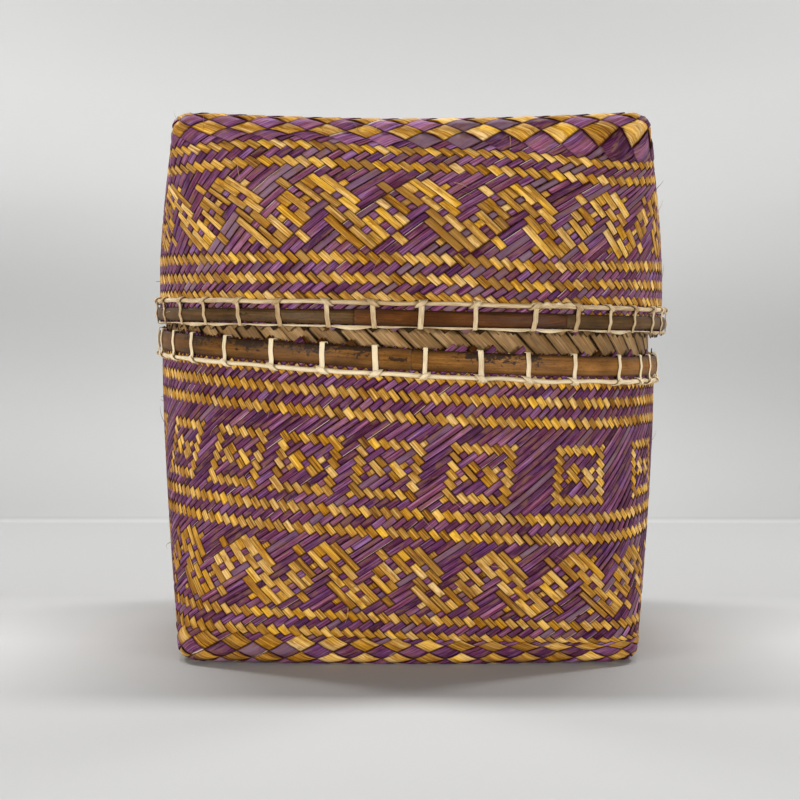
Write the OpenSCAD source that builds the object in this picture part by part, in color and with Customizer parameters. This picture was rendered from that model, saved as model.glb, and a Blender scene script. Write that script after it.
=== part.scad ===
// Lidded box of plaited bamboo: a square foot that turns into a round rim, and a lid of the same make.
// Each half is a decorated outer box with a plain lining inside it. The lining of the base stands up
// past the rim as a collar, and the lid slides down over that collar.
// Each rim is stiffened by a split-bamboo hoop and a thin running cane, bound on with a cane lashing.
// Millimetres, +Z up, the foot rests on z = 0 and the front faces -Y.

/* [Base box] */
// Outside diameter of the woven wall at the base rim
base_rim_d = 200; // [170:1:230]
// Outside side of the square foot
foot_side = 172; // [150:1:185]
// Height of the base rim above the table, at its middle
base_rim_h = 117.6; // [95:0.1:140]
// Slope of the base rim in degrees, low at +X
base_rim_slope = 3; // [0:0.1:3]
// How far the corners of the foot curl up off the table
foot_curl = 1.2; // [0:0.1:4]

/* [Lid] */
// Room between the collar and the lid's lining, all round
lid_play = 1.6; // [1.6:0.1:2.4]
// Outside side of the square top
top_side = 176; // [150:1:190]
// Depth of the lid from its top to its rim, at the middle
lid_depth = 77; // [62:0.5:110]
// Slope of the lid rim in degrees
lid_rim_slope = 1.5; // [0:0.1:2]
// Compass direction of the lid rim's low side in degrees, 0 is +X and 90 is +Y
lid_low_side = 43; // [0:1:90]
// How far the corners of the top stand up past its middle
top_peak = 2.5; // [0:0.1:4]
// How far the lid sits to the right on its collar, less than the room it has there
lid_shift = 1.2; // [0:0.1:1.2]
// Room between the lid and the base where their rims come closest
seat_gap = 0.3; // [0.2:0.05:3]

/* [Walls] */
// Thickness of the outer weave, two crossing strips
weave_t = 1; // [0.7:0.05:1.4]
// Thickness of the plain lining
lining_t = 0.9; // [0.6:0.05:1.3]
// Room between weave and lining, where the lashing runs
wall_gap = 1.2; // [1:0.05:1.3]
// Corner radius of the square foot and top
corner_r = 13; // [10:0.5:24]
// Rounding between the foot or top and its wall
edge_r = 5; // [4:0.5:9]
// Height over which the square section turns round, as seen on the base
base_round_h = 100; // [60:1:102]
// Height over which the square section turns round, as seen on the lid
lid_round_h = 56; // [30:1:58]

/* [Rim hoops] */
// Thickness of the split-bamboo hoops
hoop_t = 1.8; // [1.2:0.1:2.6]
// Height of the base hoop
base_hoop_h = 7.6; // [6:0.1:12]
// Height of the lid hoop
lid_hoop_h = 5.4; // [5:0.1:10]
// How far the cut ends of the weave stand past the hoop
edge_show = 0.3; // [0.2:0.05:0.6]
// Length of each scarfed lap in a hoop, along the rim
lap_length = 16; // [8:0.5:24]
// Front end of the dark splice in the lid hoop, degrees from the front towards +X
splice_from = -11.5; // [-30:0.5:0]
// Other end of that splice
splice_to = 33.5; // [24:0.5:60]
// Clearance between bound pieces
fit = 0.1; // [0.08:0.01:0.2]

/* [Cane] */
// Diameter of the running canes
cane_d = 2.2; // [1.6:0.1:2.8]
// Distance from the hoop's edge to the middle of the running cane
cane_drop = 2.4; // [2.2:0.1:4]
// Width of the lashing strip
lash_w = 2.2; // [1.2:0.1:3]
// Thickness of the lashing strip
lash_t = 0.5; // [0.3:0.05:0.6]
// Thickness of the flat strip that covers the lid's cut edge
edge_strip_t = 0.4; // [0.3:0.05:0.8]
// Stitches around the base rim, in two strands
base_stitches = 34; // [24:2:46]
// Stitches around the lid rim, in two strands
lid_stitches = 36; // [24:2:46]

/* [Hidden] */
$fn = 96;

purple = [0.36, 0.17, 0.38];
natural = [0.62, 0.47, 0.27];
bark = [0.42, 0.29, 0.15];
grey_bark = [0.36, 0.29, 0.19];
red_bark = [0.38, 0.19, 0.07];
pale_cane = [0.83, 0.72, 0.50];

// The two boxes share their modules. The lid is modelled mouth up, like the base, then turned over.
BASE = 0;
LID = 1;
lid_rim_d = base_rim_d + 2 * (lid_play + lining_t);
function rim_r(box) = (box == BASE ? base_rim_d : lid_rim_d) / 2;
function foot_half(box) = (box == BASE ? foot_side : top_side) / 2;
function rim_h(box) = box == BASE ? base_rim_h : lid_depth;
function round_h(box) = box == BASE ? base_round_h : lid_round_h;
function hoop_h(box) = box == BASE ? base_hoop_h : lid_hoop_h;
function strip_t(box) = box == BASE ? 0 : edge_strip_t;
function curl(box) = box == BASE ? foot_curl : -top_peak;
function stitches(box) = box == BASE ? base_stitches : lid_stitches;

// Slope of each rim as rise per millimetre of X and Y, in the box's own mouth-up frame
base_fall = tan(base_rim_slope);
lid_fall = tan(lid_rim_slope);
function slope(box) = box == BASE
    ? [-base_fall, 0]
    : [lid_fall * cos(lid_low_side), -lid_fall * sin(lid_low_side)];
function rim_z(box, x, y) = rim_h(box) + slope(box) * [x, y];

// Heights of the bound pieces below the rim plane, shared by hoop, cane and lashing
hoop_top = -edge_show;
function hoop_foot(box) = hoop_top - hoop_h(box);
function cane_z(box) = hoop_foot(box) - cane_drop;
cane_fit = 2 * fit;
cane_wrap_r = cane_d / 2 + cane_fit + lash_t / 2;
function hole_z(box) = cane_z(box) - cane_wrap_r;
function over_top(box) = strip_t(box) + fit + lash_t / 2;

// The lid sits where the two lashings come within seat_gap of each other on the rims' nearest side
rim_tilt = norm([
    -base_fall + lid_fall * cos(lid_low_side),
    lid_fall * sin(lid_low_side)
]);
lashing_rise = over_top(BASE) + lash_t / 2 + over_top(LID) + lash_t / 2;
lid_rim_z = base_rim_h + lashing_rise + seat_gap + rim_tilt * rim_r(LID);
box_h = lid_rim_z + lid_depth;

// The collar ends a little below the height where the lid's wall starts to turn square
collar_rise = box_h - lid_round_h - edge_r - base_rim_h;

// Outline points: the plan is sampled from one corner to the next, at angles that crowd together there
PLAN_STEPS = 12;
plan_angles = [
    for (corner = [0:3], i = [0:PLAN_STEPS - 1])
        let (
            u = 2 * i / PLAN_STEPS,
            v = u < 1 ? u : u - 2,
            nearest = u < 1 ? corner : corner + 1
        )
        90 * nearest + 45 + 45 * sign(v) * pow(abs(v), 1.5)
];

// Polar radius of a rounded square with half side h and corner radius r
function plan_radius(angle, h, r) =
    let (
        a = abs(angle - 90 * round(angle / 90)),
        c = h - r
    )
    h * tan(a) <= c ? h / cos(a)
    : c * (cos(a) + sin(a)) + sqrt(r * r - pow(c * (cos(a) - sin(a)), 2));

// 0 at the middle of a side, and rises towards a corner
function corner_share(angle, h, r) = (plan_radius(angle, h, r) / h - 1) / (sqrt(2) - 1);

// How far the section has turned from square to round at height z
function turned(box, z) = 1 - pow(1 - min(1, max(0, (z - edge_r) / (round_h(box) - edge_r))), 1.5);
function half_at(box, z) = let (k = turned(box, z)) foot_half(box) * (1 - k) + rim_r(box) * k;
function corner_at(box, z) = let (k = turned(box, z)) corner_r * (1 - k) + rim_r(box) * k;

// One closed ring of points, with z either level or lifted by lift at the corners
function ring(h, r, z, lift) = [
    for (angle = plan_angles)
        let (p = plan_radius(angle, h, r))
        [p * cos(angle), p * sin(angle), z + lift * corner_share(angle, h, r)]
];

// A ring on the wall at share t of the way from the edge rounding to the plane top_drop below the rim
function wall_ring(box, inset, t, top_drop) =
    let (
        z = edge_r + t * (rim_h(box) - edge_r),
        h = half_at(box, z) - inset,
        r = corner_at(box, z) - inset,
        fade = pow(1 - t, 6)
    )
    [
        for (angle = plan_angles)
            let (
                p = plan_radius(angle, h, r),
                x = p * cos(angle),
                y = p * sin(angle),
                top = rim_z(box, x, y) - top_drop
            )
            [x, y, edge_r + t * (top - edge_r) + fade * curl(box) * corner_share(angle, h, r)]
    ];

FLAT_SHARE = 0.72;
EDGE_ANGLES = [30, 60];
WALL_SHARES = [0, 0.06, 0.13, 0.21, 0.31, 0.43, 0.56, 0.7, 0.85, 1];

// Rings of one skin of a box, from the middle of its foot up to its rim.
// The skin lies inset inside the outer wall and floor_t above the foot.
function skin(box, inset, floor_t, top_drop) =
    let (
        start_half = foot_half(box) - edge_r,
        start_r = corner_r - min(edge_r, corner_r / 2),
        reach = edge_r - inset,
        rise = edge_r - floor_t
    )
    concat(
        [
            ring(start_half * FLAT_SHARE, start_r * FLAT_SHARE, floor_t, 0),
            ring(start_half, start_r, floor_t, curl(box))
        ],
        [
            for (a = EDGE_ANGLES)
                ring(start_half + reach * sin(a), start_r + (corner_r - inset - start_r) * sin(a),
                    edge_r - rise * cos(a), curl(box))
        ],
        [for (t = WALL_SHARES) wall_ring(box, inset, t, top_drop)]
    );

// A closed solid through a list of rings, capped at both ends. The rings of a wall run up one skin and
// down the other, so the second half takes the other diagonals and two skins match where they touch.
module loft(rings) {
    last = len(rings) - 1;
    n = len(rings[0]);
    points = [for (r = rings) each r];
    sides = [
        for (k = [0:last - 1], i = [0:n - 1])
            let (
                a = k * n + i,
                b = k * n + (i + 1) % n
            )
            each ((i % PLAN_STEPS < PLAN_STEPS / 2) == (2 * k < last)
                ? [[a, a + n, b + n], [a, b + n, b]]
                : [[a, a + n, b], [b, a + n, b + n]])
    ];
    first_cap = [for (i = [0:n - 1]) i];
    last_cap = [for (i = [0:n - 1]) last * n + (n - i) % n];
    polyhedron(points, concat(sides, [first_cap, last_cap]), convexity = 6);
}

function reversed(list) = [for (i = [len(list) - 1:-1:0]) list[i]];

// The decorated outer box: floor and wall of one thickness, open at the rim
module outer_weave(box)
    color(purple)
    loft(concat(skin(box, 0, 0, 0), reversed(skin(box, weave_t, weave_t, 0))));

// The plain inner box. It stands on the outer floor, and rises by rise past the rim plane,
// where a rise above zero makes a level collar.
module lining(box, rise) {
    inset = weave_t + wall_gap;
    inner = inset + lining_t;
    drop = max(0, -rise);
    function collar(d) = rise > 0
        ? [ring(rim_r(box) - d, rim_r(box) - d, rim_h(box) + rise, 0)]
        : [];
    color(natural)
    loft(concat(
        skin(box, inset, weave_t, drop), collar(inset),
        collar(inner), reversed(skin(box, inner, weave_t + lining_t, drop))
    ));
}

// Keeps what lies between two planes parallel to the rim, given as heights from the rim plane
module between_rim_planes(box, low, high) {
    span = 4 * rim_r(box);
    s = slope(box);
    intersection() {
        children();
        translate([0, 0, rim_h(box)])
            rotate([atan(s[1]), -atan(s[0]), 0])
                translate([-span / 2, -span / 2, low])
                    cube([span, span, high - low]);
    }
}

// An upright strip bent along the rim from one angle to another, between two radii
module bent_strip(box, from, to, inner, outer) {
    height = 3 * hoop_h(box);
    rotate([0, 0, from])
        rotate_extrude(angle = to - from)
            translate([inner, rim_h(box) - 2 * hoop_h(box)])
                square([outer - inner, height]);
}

function hoop_in(box) = rim_r(box) + fit;
function hoop_out(box) = hoop_in(box) + hoop_t;
function lap_angle(box) = lap_length / hoop_out(box) * 180 / PI;
function lap_r(box) = hoop_in(box) + hoop_t / 2;

// Angles in the box's own frame: the base's front is at -90 degrees, and the lid is turned over
// about X, so its front is at +90 degrees and runs the other way round.
base_lap_at = -90;
function lid_angle(from_front) = 90 - from_front;

// One strip whose scarfed ends pass each other: the outer end lies over the inner one.
// Each thinned end stops a notch short of the full strip, and runs on into it at its root.
module base_hoop() {
    start = base_lap_at + lap_angle(BASE);
    end = base_lap_at + 360;
    notch = lap_angle(BASE) * edge_show / lap_length;
    color(bark)
    between_rim_planes(BASE, hoop_foot(BASE), hoop_top) {
        union() {
            bent_strip(BASE, start, end, hoop_in(BASE), hoop_out(BASE));
            bent_strip(BASE, end - 1, end + lap_angle(BASE) - notch, lap_r(BASE), hoop_out(BASE));
            bent_strip(BASE, base_lap_at + notch, start + 1, hoop_in(BASE), lap_r(BASE) - fit);
        }
    }
}

// The long grey strip of the lid hoop, thinned to a tongue at each end
module lid_hoop() {
    from = lid_angle(splice_from);
    to = lid_angle(splice_to) + 360;
    color(grey_bark)
    between_rim_planes(LID, hoop_foot(LID), hoop_top) {
        union() {
            bent_strip(LID, from, to, hoop_in(LID), hoop_out(LID));
            bent_strip(LID, from - lap_angle(LID), to + lap_angle(LID),
                hoop_in(LID), lap_r(LID) - fit);
        }
    }
}

// The dark splice that closes the lid hoop, lying over both tongues
module lid_hoop_splice() {
    gap = lap_angle(LID) * fit / lap_length;
    from = lid_angle(splice_to) + gap;
    to = lid_angle(splice_from) - gap;
    tongue = lap_angle(LID) + gap;
    color(red_bark)
    between_rim_planes(LID, hoop_foot(LID), hoop_top) {
        union() {
            bent_strip(LID, from, to, lap_r(LID), hoop_out(LID));
            bent_strip(LID, from + tongue, to - tongue, hoop_in(LID), hoop_out(LID));
        }
    }
}

// Flat strip laid along the cut edge of the lid's weave, under the lashing
module lid_edge_strip()
    color(pale_cane)
    between_rim_planes(LID, 0, edge_strip_t)
    bent_strip(LID, 0, 360, rim_r(LID) - weave_t, hoop_in(LID) + hoop_t / 2);

// Round cane that runs along the far side of the hoop, held by every stitch
module running_cane(box) {
    s = slope(box);
    color(pale_cane)
    translate([0, 0, rim_h(box) + cane_z(box)])
        rotate([atan(s[1]), -atan(s[0]), 0])
            rotate_extrude()
                translate([rim_r(box) + cane_fit + cane_d / 2, 0])
                    circle(d = cane_d, $fn = 32);
}

// Lashing. Each stitch is a list of [radius, share of the pitch along the rim, height, facing]:
// it climbs between weave and lining, passes over the cut edge, runs down the hoop's face,
// turns under the running cane and goes back in through the weave. Facing is the direction
// of the strip's outer face in the plane of radius and height.
function stitch(box) =
    let (
        r = rim_r(box),
        inside = r - weave_t - wall_gap / 2,
        face = hoop_out(box) + fit + lash_t / 2,
        top = over_top(box),
        cane_r = r + cane_fit + cane_d / 2,
        low = hole_z(box)
    )
    [
        [inside, -0.8, low, 180],
        [inside, -0.2, 2 * hoop_top - lash_w, 180],
        [inside, 0, hoop_top, 180],
        [inside + lash_t, 0, top, 120],
        [r + hoop_t / 2, 0, top, 90],
        [face - fit, 0, top - lash_t / 2 - fit, 30],
        [face, 0, hoop_top - lash_w / 2, 0],
        [face, 0, hoop_foot(box), 0],
        [cane_r + cane_wrap_r, 0, cane_z(box), 0],
        [cane_r + cane_wrap_r * cos(50), 0, cane_z(box) - cane_wrap_r * sin(50), -50],
        [cane_r, 0, low, -90],
        [inside + lash_t, 0, low, -130],
        [inside, 0.08, low, -160]
    ];

// Points [radius, angle, height, facing] of one strand of count stitches, with straight tucked ends
function strand(box, first, count) =
    let (
        pitch = 360 / stitches(box),
        one = stitch(box),
        tuck = lash_w / rim_r(box) * 180 / PI,
        body = [
            for (k = [0:count - 1], p = one)
                [p[0], first + max(k + p[1], -0.5) * pitch, p[2], p[3]]
        ],
        end = body[len(body) - 1]
    )
    concat(
        [[body[0][0], body[0][1] - tuck, body[0][2], body[0][3]]],
        body,
        [[one[0][0], end[1] + tuck, end[2], 180], [one[0][0], end[1] + 2 * tuck, end[2], 180]]
    );

function place(box, p) =
    let (
        x = p[0] * cos(p[1]),
        y = p[0] * sin(p[1])
    )
    [x, y, rim_z(box, x, y) + p[2]];

function unit(v) = v / norm(v);

// Four corners of the flat strip at one point of its path
function strip_section(centre, ahead, p) =
    let (
        out = [cos(p[3]) * cos(p[1]), cos(p[3]) * sin(p[1]), sin(p[3])],
        across = unit(cross(out, ahead)),
        w = across * lash_w / 2,
        t = out * lash_t / 2
    )
    [centre + w + t, centre - w + t, centre - w - t, centre + w - t];

function strand_rings(box, path) =
    let (
        centres = [for (p = path) place(box, p)],
        last = len(path) - 1
    )
    [
        for (i = [0:last])
            strip_section(centres[i],
                unit(centres[min(i + 1, last)] - centres[max(i - 1, 0)]), path[i])
    ];

module lashing(box, first, count)
    color(pale_cane)
    loft(strand_rings(box, strand(box, first, count)));

// Least distance between the strand's own passes, between points at least half a stitch apart
function strand_gap(box, first, count) =
    let (
        path = [for (p = strand(box, first, count)) place(box, p)],
        skip = len(stitch(box)) / 2
    )
    min([
        for (i = [0:len(path) - 1], k = [i + skip:len(path) - 1])
            norm(path[i] - path[k])
    ]) - lash_t;

// Half a pitch keeps the strands' ends apart, and starts the front strand at the side
function strand_start(box, back) = (back ? 0 : -180) + 180 / stitches(box);

for (box = [BASE, LID])
    echo(least_gap_of_lashing = strand_gap(box, strand_start(box, false), stitches(box) / 2));

// Turns a mouth-up lid over and sets it on the base
module closed()
    translate([lid_shift, 0, box_h])
        rotate([180, 0, 0])
            children();

module base_outer_weave() outer_weave(BASE);
module base_lining() lining(BASE, collar_rise);
module base_running_cane() running_cane(BASE);
module base_lashing_front() lashing(BASE, strand_start(BASE, false), base_stitches / 2);
module base_lashing_back() lashing(BASE, strand_start(BASE, true), base_stitches / 2);
module lid_outer_weave() outer_weave(LID);
module lid_lining() lining(LID, -edge_show);
module lid_running_cane() running_cane(LID);
module lid_lashing_front() lashing(LID, strand_start(LID, true), lid_stitches / 2);
module lid_lashing_back() lashing(LID, strand_start(LID, false), lid_stitches / 2);

base_outer_weave();
base_lining();
base_hoop();
base_running_cane();
base_lashing_front();
base_lashing_back();
closed() lid_outer_weave();
closed() lid_lining();
closed() lid_hoop();
closed() lid_hoop_splice();
closed() lid_edge_strip();
closed() lid_running_cane();
closed() lid_lashing_front();
closed() lid_lashing_back();
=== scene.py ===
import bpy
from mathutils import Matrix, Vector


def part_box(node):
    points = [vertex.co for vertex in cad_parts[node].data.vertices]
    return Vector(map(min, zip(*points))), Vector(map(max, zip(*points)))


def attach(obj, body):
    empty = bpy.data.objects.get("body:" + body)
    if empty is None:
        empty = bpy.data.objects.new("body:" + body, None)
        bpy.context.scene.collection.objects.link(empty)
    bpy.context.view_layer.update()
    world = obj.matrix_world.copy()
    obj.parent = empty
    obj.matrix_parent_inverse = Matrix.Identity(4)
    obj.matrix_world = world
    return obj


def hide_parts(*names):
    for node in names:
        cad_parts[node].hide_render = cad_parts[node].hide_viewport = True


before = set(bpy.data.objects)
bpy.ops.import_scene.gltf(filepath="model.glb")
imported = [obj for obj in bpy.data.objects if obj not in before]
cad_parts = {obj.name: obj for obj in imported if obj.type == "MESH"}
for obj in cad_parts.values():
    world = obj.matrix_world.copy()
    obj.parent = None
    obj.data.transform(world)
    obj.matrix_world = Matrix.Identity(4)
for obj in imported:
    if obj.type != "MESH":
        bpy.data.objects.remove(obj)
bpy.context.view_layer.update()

import math

import bpy
import numpy as np
from bpy.props import FloatProperty, FloatVectorProperty, IntProperty, PointerProperty

bl_info = {
    "name": "Woven bamboo box",
    "version": (1, 0, 0),
    "blender": (4, 5, 0),
    "location": "3D View > Sidebar > Bamboo box",
    "description": "Plaits a lidded bamboo box strip by strip around its solid parts",
    "category": "Add Mesh",
}

MM = 0.001


# Settings

def length(name, description, default):
    return FloatProperty(name=name, description=description, default=default, min=0.0,
                         precision=4, unit="LENGTH")


def angle(name, description, degrees):
    return FloatProperty(name=name, description=description, default=math.radians(degrees),
                         subtype="ANGLE")


def share(name, description, default):
    return FloatProperty(name=name, description=description, default=default, min=0.0, max=1.0,
                         subtype="FACTOR")


def number(name, description, default):
    return IntProperty(name=name, description=description, default=default, min=1)


def colour(name, description, rgb):
    return FloatVectorProperty(name=name, description=description, default=rgb, size=3,
                               min=0.0, max=1.0, subtype="COLOR")


def power(name, description, watts):
    return FloatProperty(name=name, description=description, default=watts, min=0.0, unit="POWER")


class BAMBOO_PG_form(bpy.types.PropertyGroup):
    """Sizes of the two boxes, which the strips follow"""
    base_rim_radius: length("Base rim radius", "Outside radius of the base wall at its rim",
                            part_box("base_outer_weave")[1].x - 0.0003)
    foot_side: length("Foot side", "Outside side of the square foot", 0.172)
    base_rim_height: length("Base rim height", "Height of the base rim at its middle", 0.1176)
    base_rim_slope: angle("Base rim slope", "Slope of the base rim, low at the right", 3.0)
    foot_curl: length("Foot curl", "How far the foot's corners curl up", 0.0012)
    base_round_height: length("Base turning height", "Where the base has turned from square to round",
                              0.100)
    lid_rim_radius: length("Lid rim radius", "Outside radius of the lid wall at its rim",
                           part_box("lid_outer_weave")[1].y - 0.0008)
    top_side: length("Top side", "Outside side of the square top", 0.176)
    lid_depth: length("Lid depth", "Depth of the lid at its middle", 0.077)
    lid_rim_slope: angle("Lid rim slope", "Slope of the lid rim", 1.5)
    lid_low_side: angle("Lid low side", "Direction of the lid rim's low side", 43.0)
    top_peak: length("Top peak", "How far the top's corners stand up", 0.0025)
    lid_round_height: length("Lid turning height", "Where the lid has turned from square to round", 0.056)
    lid_shift: length("Lid shift", "How far the lid sits to the right on the collar", 0.0012)
    box_height: length("Closed height", "Height of the lid's top at its middle", 0.20037)
    collar_height: length("Collar height", "Height of the collar's top edge",
                          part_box("base_lining")[1].z)
    corner_radius: length("Corner radius", "Corner radius of foot and top", 0.013)
    edge_radius: length("Edge radius", "Rounding between foot or top and wall", 0.005)


class BAMBOO_PG_weave(bpy.types.PropertyGroup):
    """Strips of the outer weave and of the linings"""
    base_strips: number("Base strips", "Narrow strips of each colour round the base", 168)
    base_lean: share("Base lean", "How far the strips lean more upright, per level", 0.09)
    lid_strips: number("Lid strips", "Narrow strips of each colour round the lid", 144)
    lid_lean: share("Lid lean", "How far the strips lean more upright, per level", 0.03)
    edge_levels: number("Edge levels", "Rows of crossings round the foot's or the top's edge", 8)
    strip_fill: share("Strip fill", "Share of its lane that a strip fills", 0.972)
    strip_thickness: length("Strip thickness", "Thickness of a split strip", 0.0004)
    swing: length("Swing", "How far a strip swings out and in at its crossings", 0.00026)
    base_lining_strips: number("Base lining strips", "Wide strips each way round the base lining", 56)
    base_lining_levels: number("Base lining levels", "Rows of crossings up to the collar's edge", 28)
    lid_lining_strips: number("Lid lining strips", "Wide strips each way round the lid lining", 48)
    lid_lining_levels: number("Lid lining levels", "Rows of crossings up to the lid's rim", 13)
    seed: number("Seed", "Start of the random draws", 7)


class BAMBOO_PG_rims(bpy.types.PropertyGroup):
    """Hoops, canes and lashings of both rims"""
    hoop_thickness: length("Hoop thickness", "Thickness of the split-bamboo hoops", 0.0014)
    base_hoop_height: length("Base hoop height", "Height of the base hoop", 0.0076)
    lid_hoop_height: length("Lid hoop height", "Height of the lid hoop", 0.0054)
    edge_show: length("Edge show", "How far the cut weave stands past the hoop", 0.0003)
    splice_start: angle("Splice start", "Left end of the dark splice, from the front", -11.5)
    splice_end: angle("Splice end", "Right end of the dark splice, from the front", 33.5)
    cane_diameter: length("Cane diameter", "Diameter of the running canes", 0.0018)
    base_cane_drop: length("Base cane drop", "From the base hoop's edge to its running cane", 0.0019)
    lid_cane_drop: length("Lid cane drop", "From the lid hoop's edge to its running cane", 0.0026)
    lash_width: length("Lashing width", "Width of the lashing strip", 0.0019)
    lash_thickness: length("Lashing thickness", "Thickness of the lashing strip", 0.0004)
    base_stitches: number("Base stitches", "Stitches round the base rim", 34)
    lid_stitches: number("Lid stitches", "Stitches round the lid rim", 36)


class BAMBOO_PG_colours(bpy.types.PropertyGroup):
    """Colours of the bamboo and the cane"""
    purple_dark: colour("Dark purple", "Deepest dye", (0.036, 0.004, 0.020))
    purple: colour("Purple", "Common dye", (0.140, 0.036, 0.096))
    purple_light: colour("Light purple", "Thin dye", (0.38, 0.175, 0.30))
    lilac_grey: colour("Grey lilac", "Faded strips", (0.20, 0.125, 0.155))
    gold_dark: colour("Dark gold", "Browned strips", (0.080, 0.022, 0.003))
    gold: colour("Gold", "Common strips", (0.465, 0.232, 0.026))
    gold_light: colour("Straw", "Brightest strips", (0.86, 0.56, 0.14))
    gold_dull: colour("Dull gold", "Dirty strips", (0.25, 0.120, 0.030))
    natural_dark: colour("Dark natural", "Shaded lining strips", (0.13, 0.070, 0.028))
    natural: colour("Natural", "Common lining strips", (0.32, 0.188, 0.078))
    natural_light: colour("Light natural", "Pale lining strips", (0.52, 0.345, 0.165))
    purple_worn: colour("Worn purple", "Rubbed purple strips", (0.19, 0.085, 0.050))
    gold_worn: colour("Worn gold", "Rubbed gold strips", (0.27, 0.105, 0.012))
    natural_worn: colour("Worn natural", "Rubbed lining strips", (0.24, 0.135, 0.052))
    pale_split: colour("Pale split", "Bare wood at split edges", (0.62, 0.50, 0.38))
    # These three colours are painted shade between strips and where a strip goes under others
    purple_seam_shade: colour("Purple seams", "Between and under purple strips", (0.026, 0.001, 0.010))
    gold_seam_shade: colour("Gold seams", "Between and under gold strips", (0.042, 0.009, 0.001))
    natural_seam_shade: colour("Lining seams", "Between and under lining strips", (0.016, 0.007, 0.003))
    brown_hoop: colour("Brown bark", "Base hoop", (0.160, 0.064, 0.010))
    brown_hoop_light: colour("Light brown bark", "Worn side of the base hoop", (0.36, 0.155, 0.035))
    grey_hoop: colour("Grey bark", "Lid hoop", (0.094, 0.045, 0.012))
    grey_hoop_light: colour("Light grey bark", "Worn side of the lid hoop", (0.190, 0.108, 0.040))
    red_hoop: colour("Red bark", "Splice of the lid hoop", (0.084, 0.025, 0.003))
    red_hoop_light: colour("Light red bark", "Worn side of the splice", (0.18, 0.064, 0.010))
    # This colour also paints shade along the hoops' edges and in the base hoop's slit
    mottle_and_shade: colour("Mottle", "Dark marks on the bark", (0.025, 0.013, 0.007))
    cane: colour("Cane", "Binding cane", (0.74, 0.60, 0.38))
    cane_dark: colour("Dark cane", "Binding cane in its grain", (0.36, 0.22, 0.09))


class BAMBOO_PG_stage(bpy.types.PropertyGroup):
    """Camera, floor and lamps"""
    camera_distance: length("Camera distance", "From the box's axis to the camera", 0.8)
    camera_height: length("Camera height", "Height of the camera above the floor", 0.138)
    camera_pitch: angle("Camera pitch", "How far the camera looks down", 3.2)
    camera_turn: angle("Camera turn", "How far the camera looks to the left", 0.234)
    camera_lens: FloatProperty(name="Lens", description="Focal length on a 36 mm sensor",
                               default=88.02, min=1.0, unit="CAMERA")
    floor_colour: colour("Floor", "Colour of the floor", (0.515, 0.515, 0.51))
    wall_colour: colour("Backdrop", "Colour of the backdrop", (0.505, 0.509, 0.505))
    backdrop: length("Backdrop", "From the box's axis to the backdrop", 0.36)
    ambient: share("Ambient", "Strength of the light from all sides", 0.10)
    lamp_power: power("Lamp", "Power of the large lamp overhead", 11.4)
    left_power: power("Left lamp", "Power of the lamp at the left", 23.5)
    right_power: power("Right lamp", "Power of the lamp at the right", 19.5)
    fill_power: power("Fill lamps", "Power of each lamp beside the box", 2.0)


# The surface that the strips follow

# Share of the floor inside which it lies flat, and how fast the corners' curl fades up the wall
FLAT_SHARE, CURL_FADE = 0.72, 6
# How fast the wall turns from square to round, and the step that its slope is measured over
TURN_POWER, SLOPE_STEP = 1.5, 0.06
# Shares of the wall's height, up from the edge and down from the rim, where rows don't wander fully
CALM_EDGE, CALM_RIM = 0.07, 0.12


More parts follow.
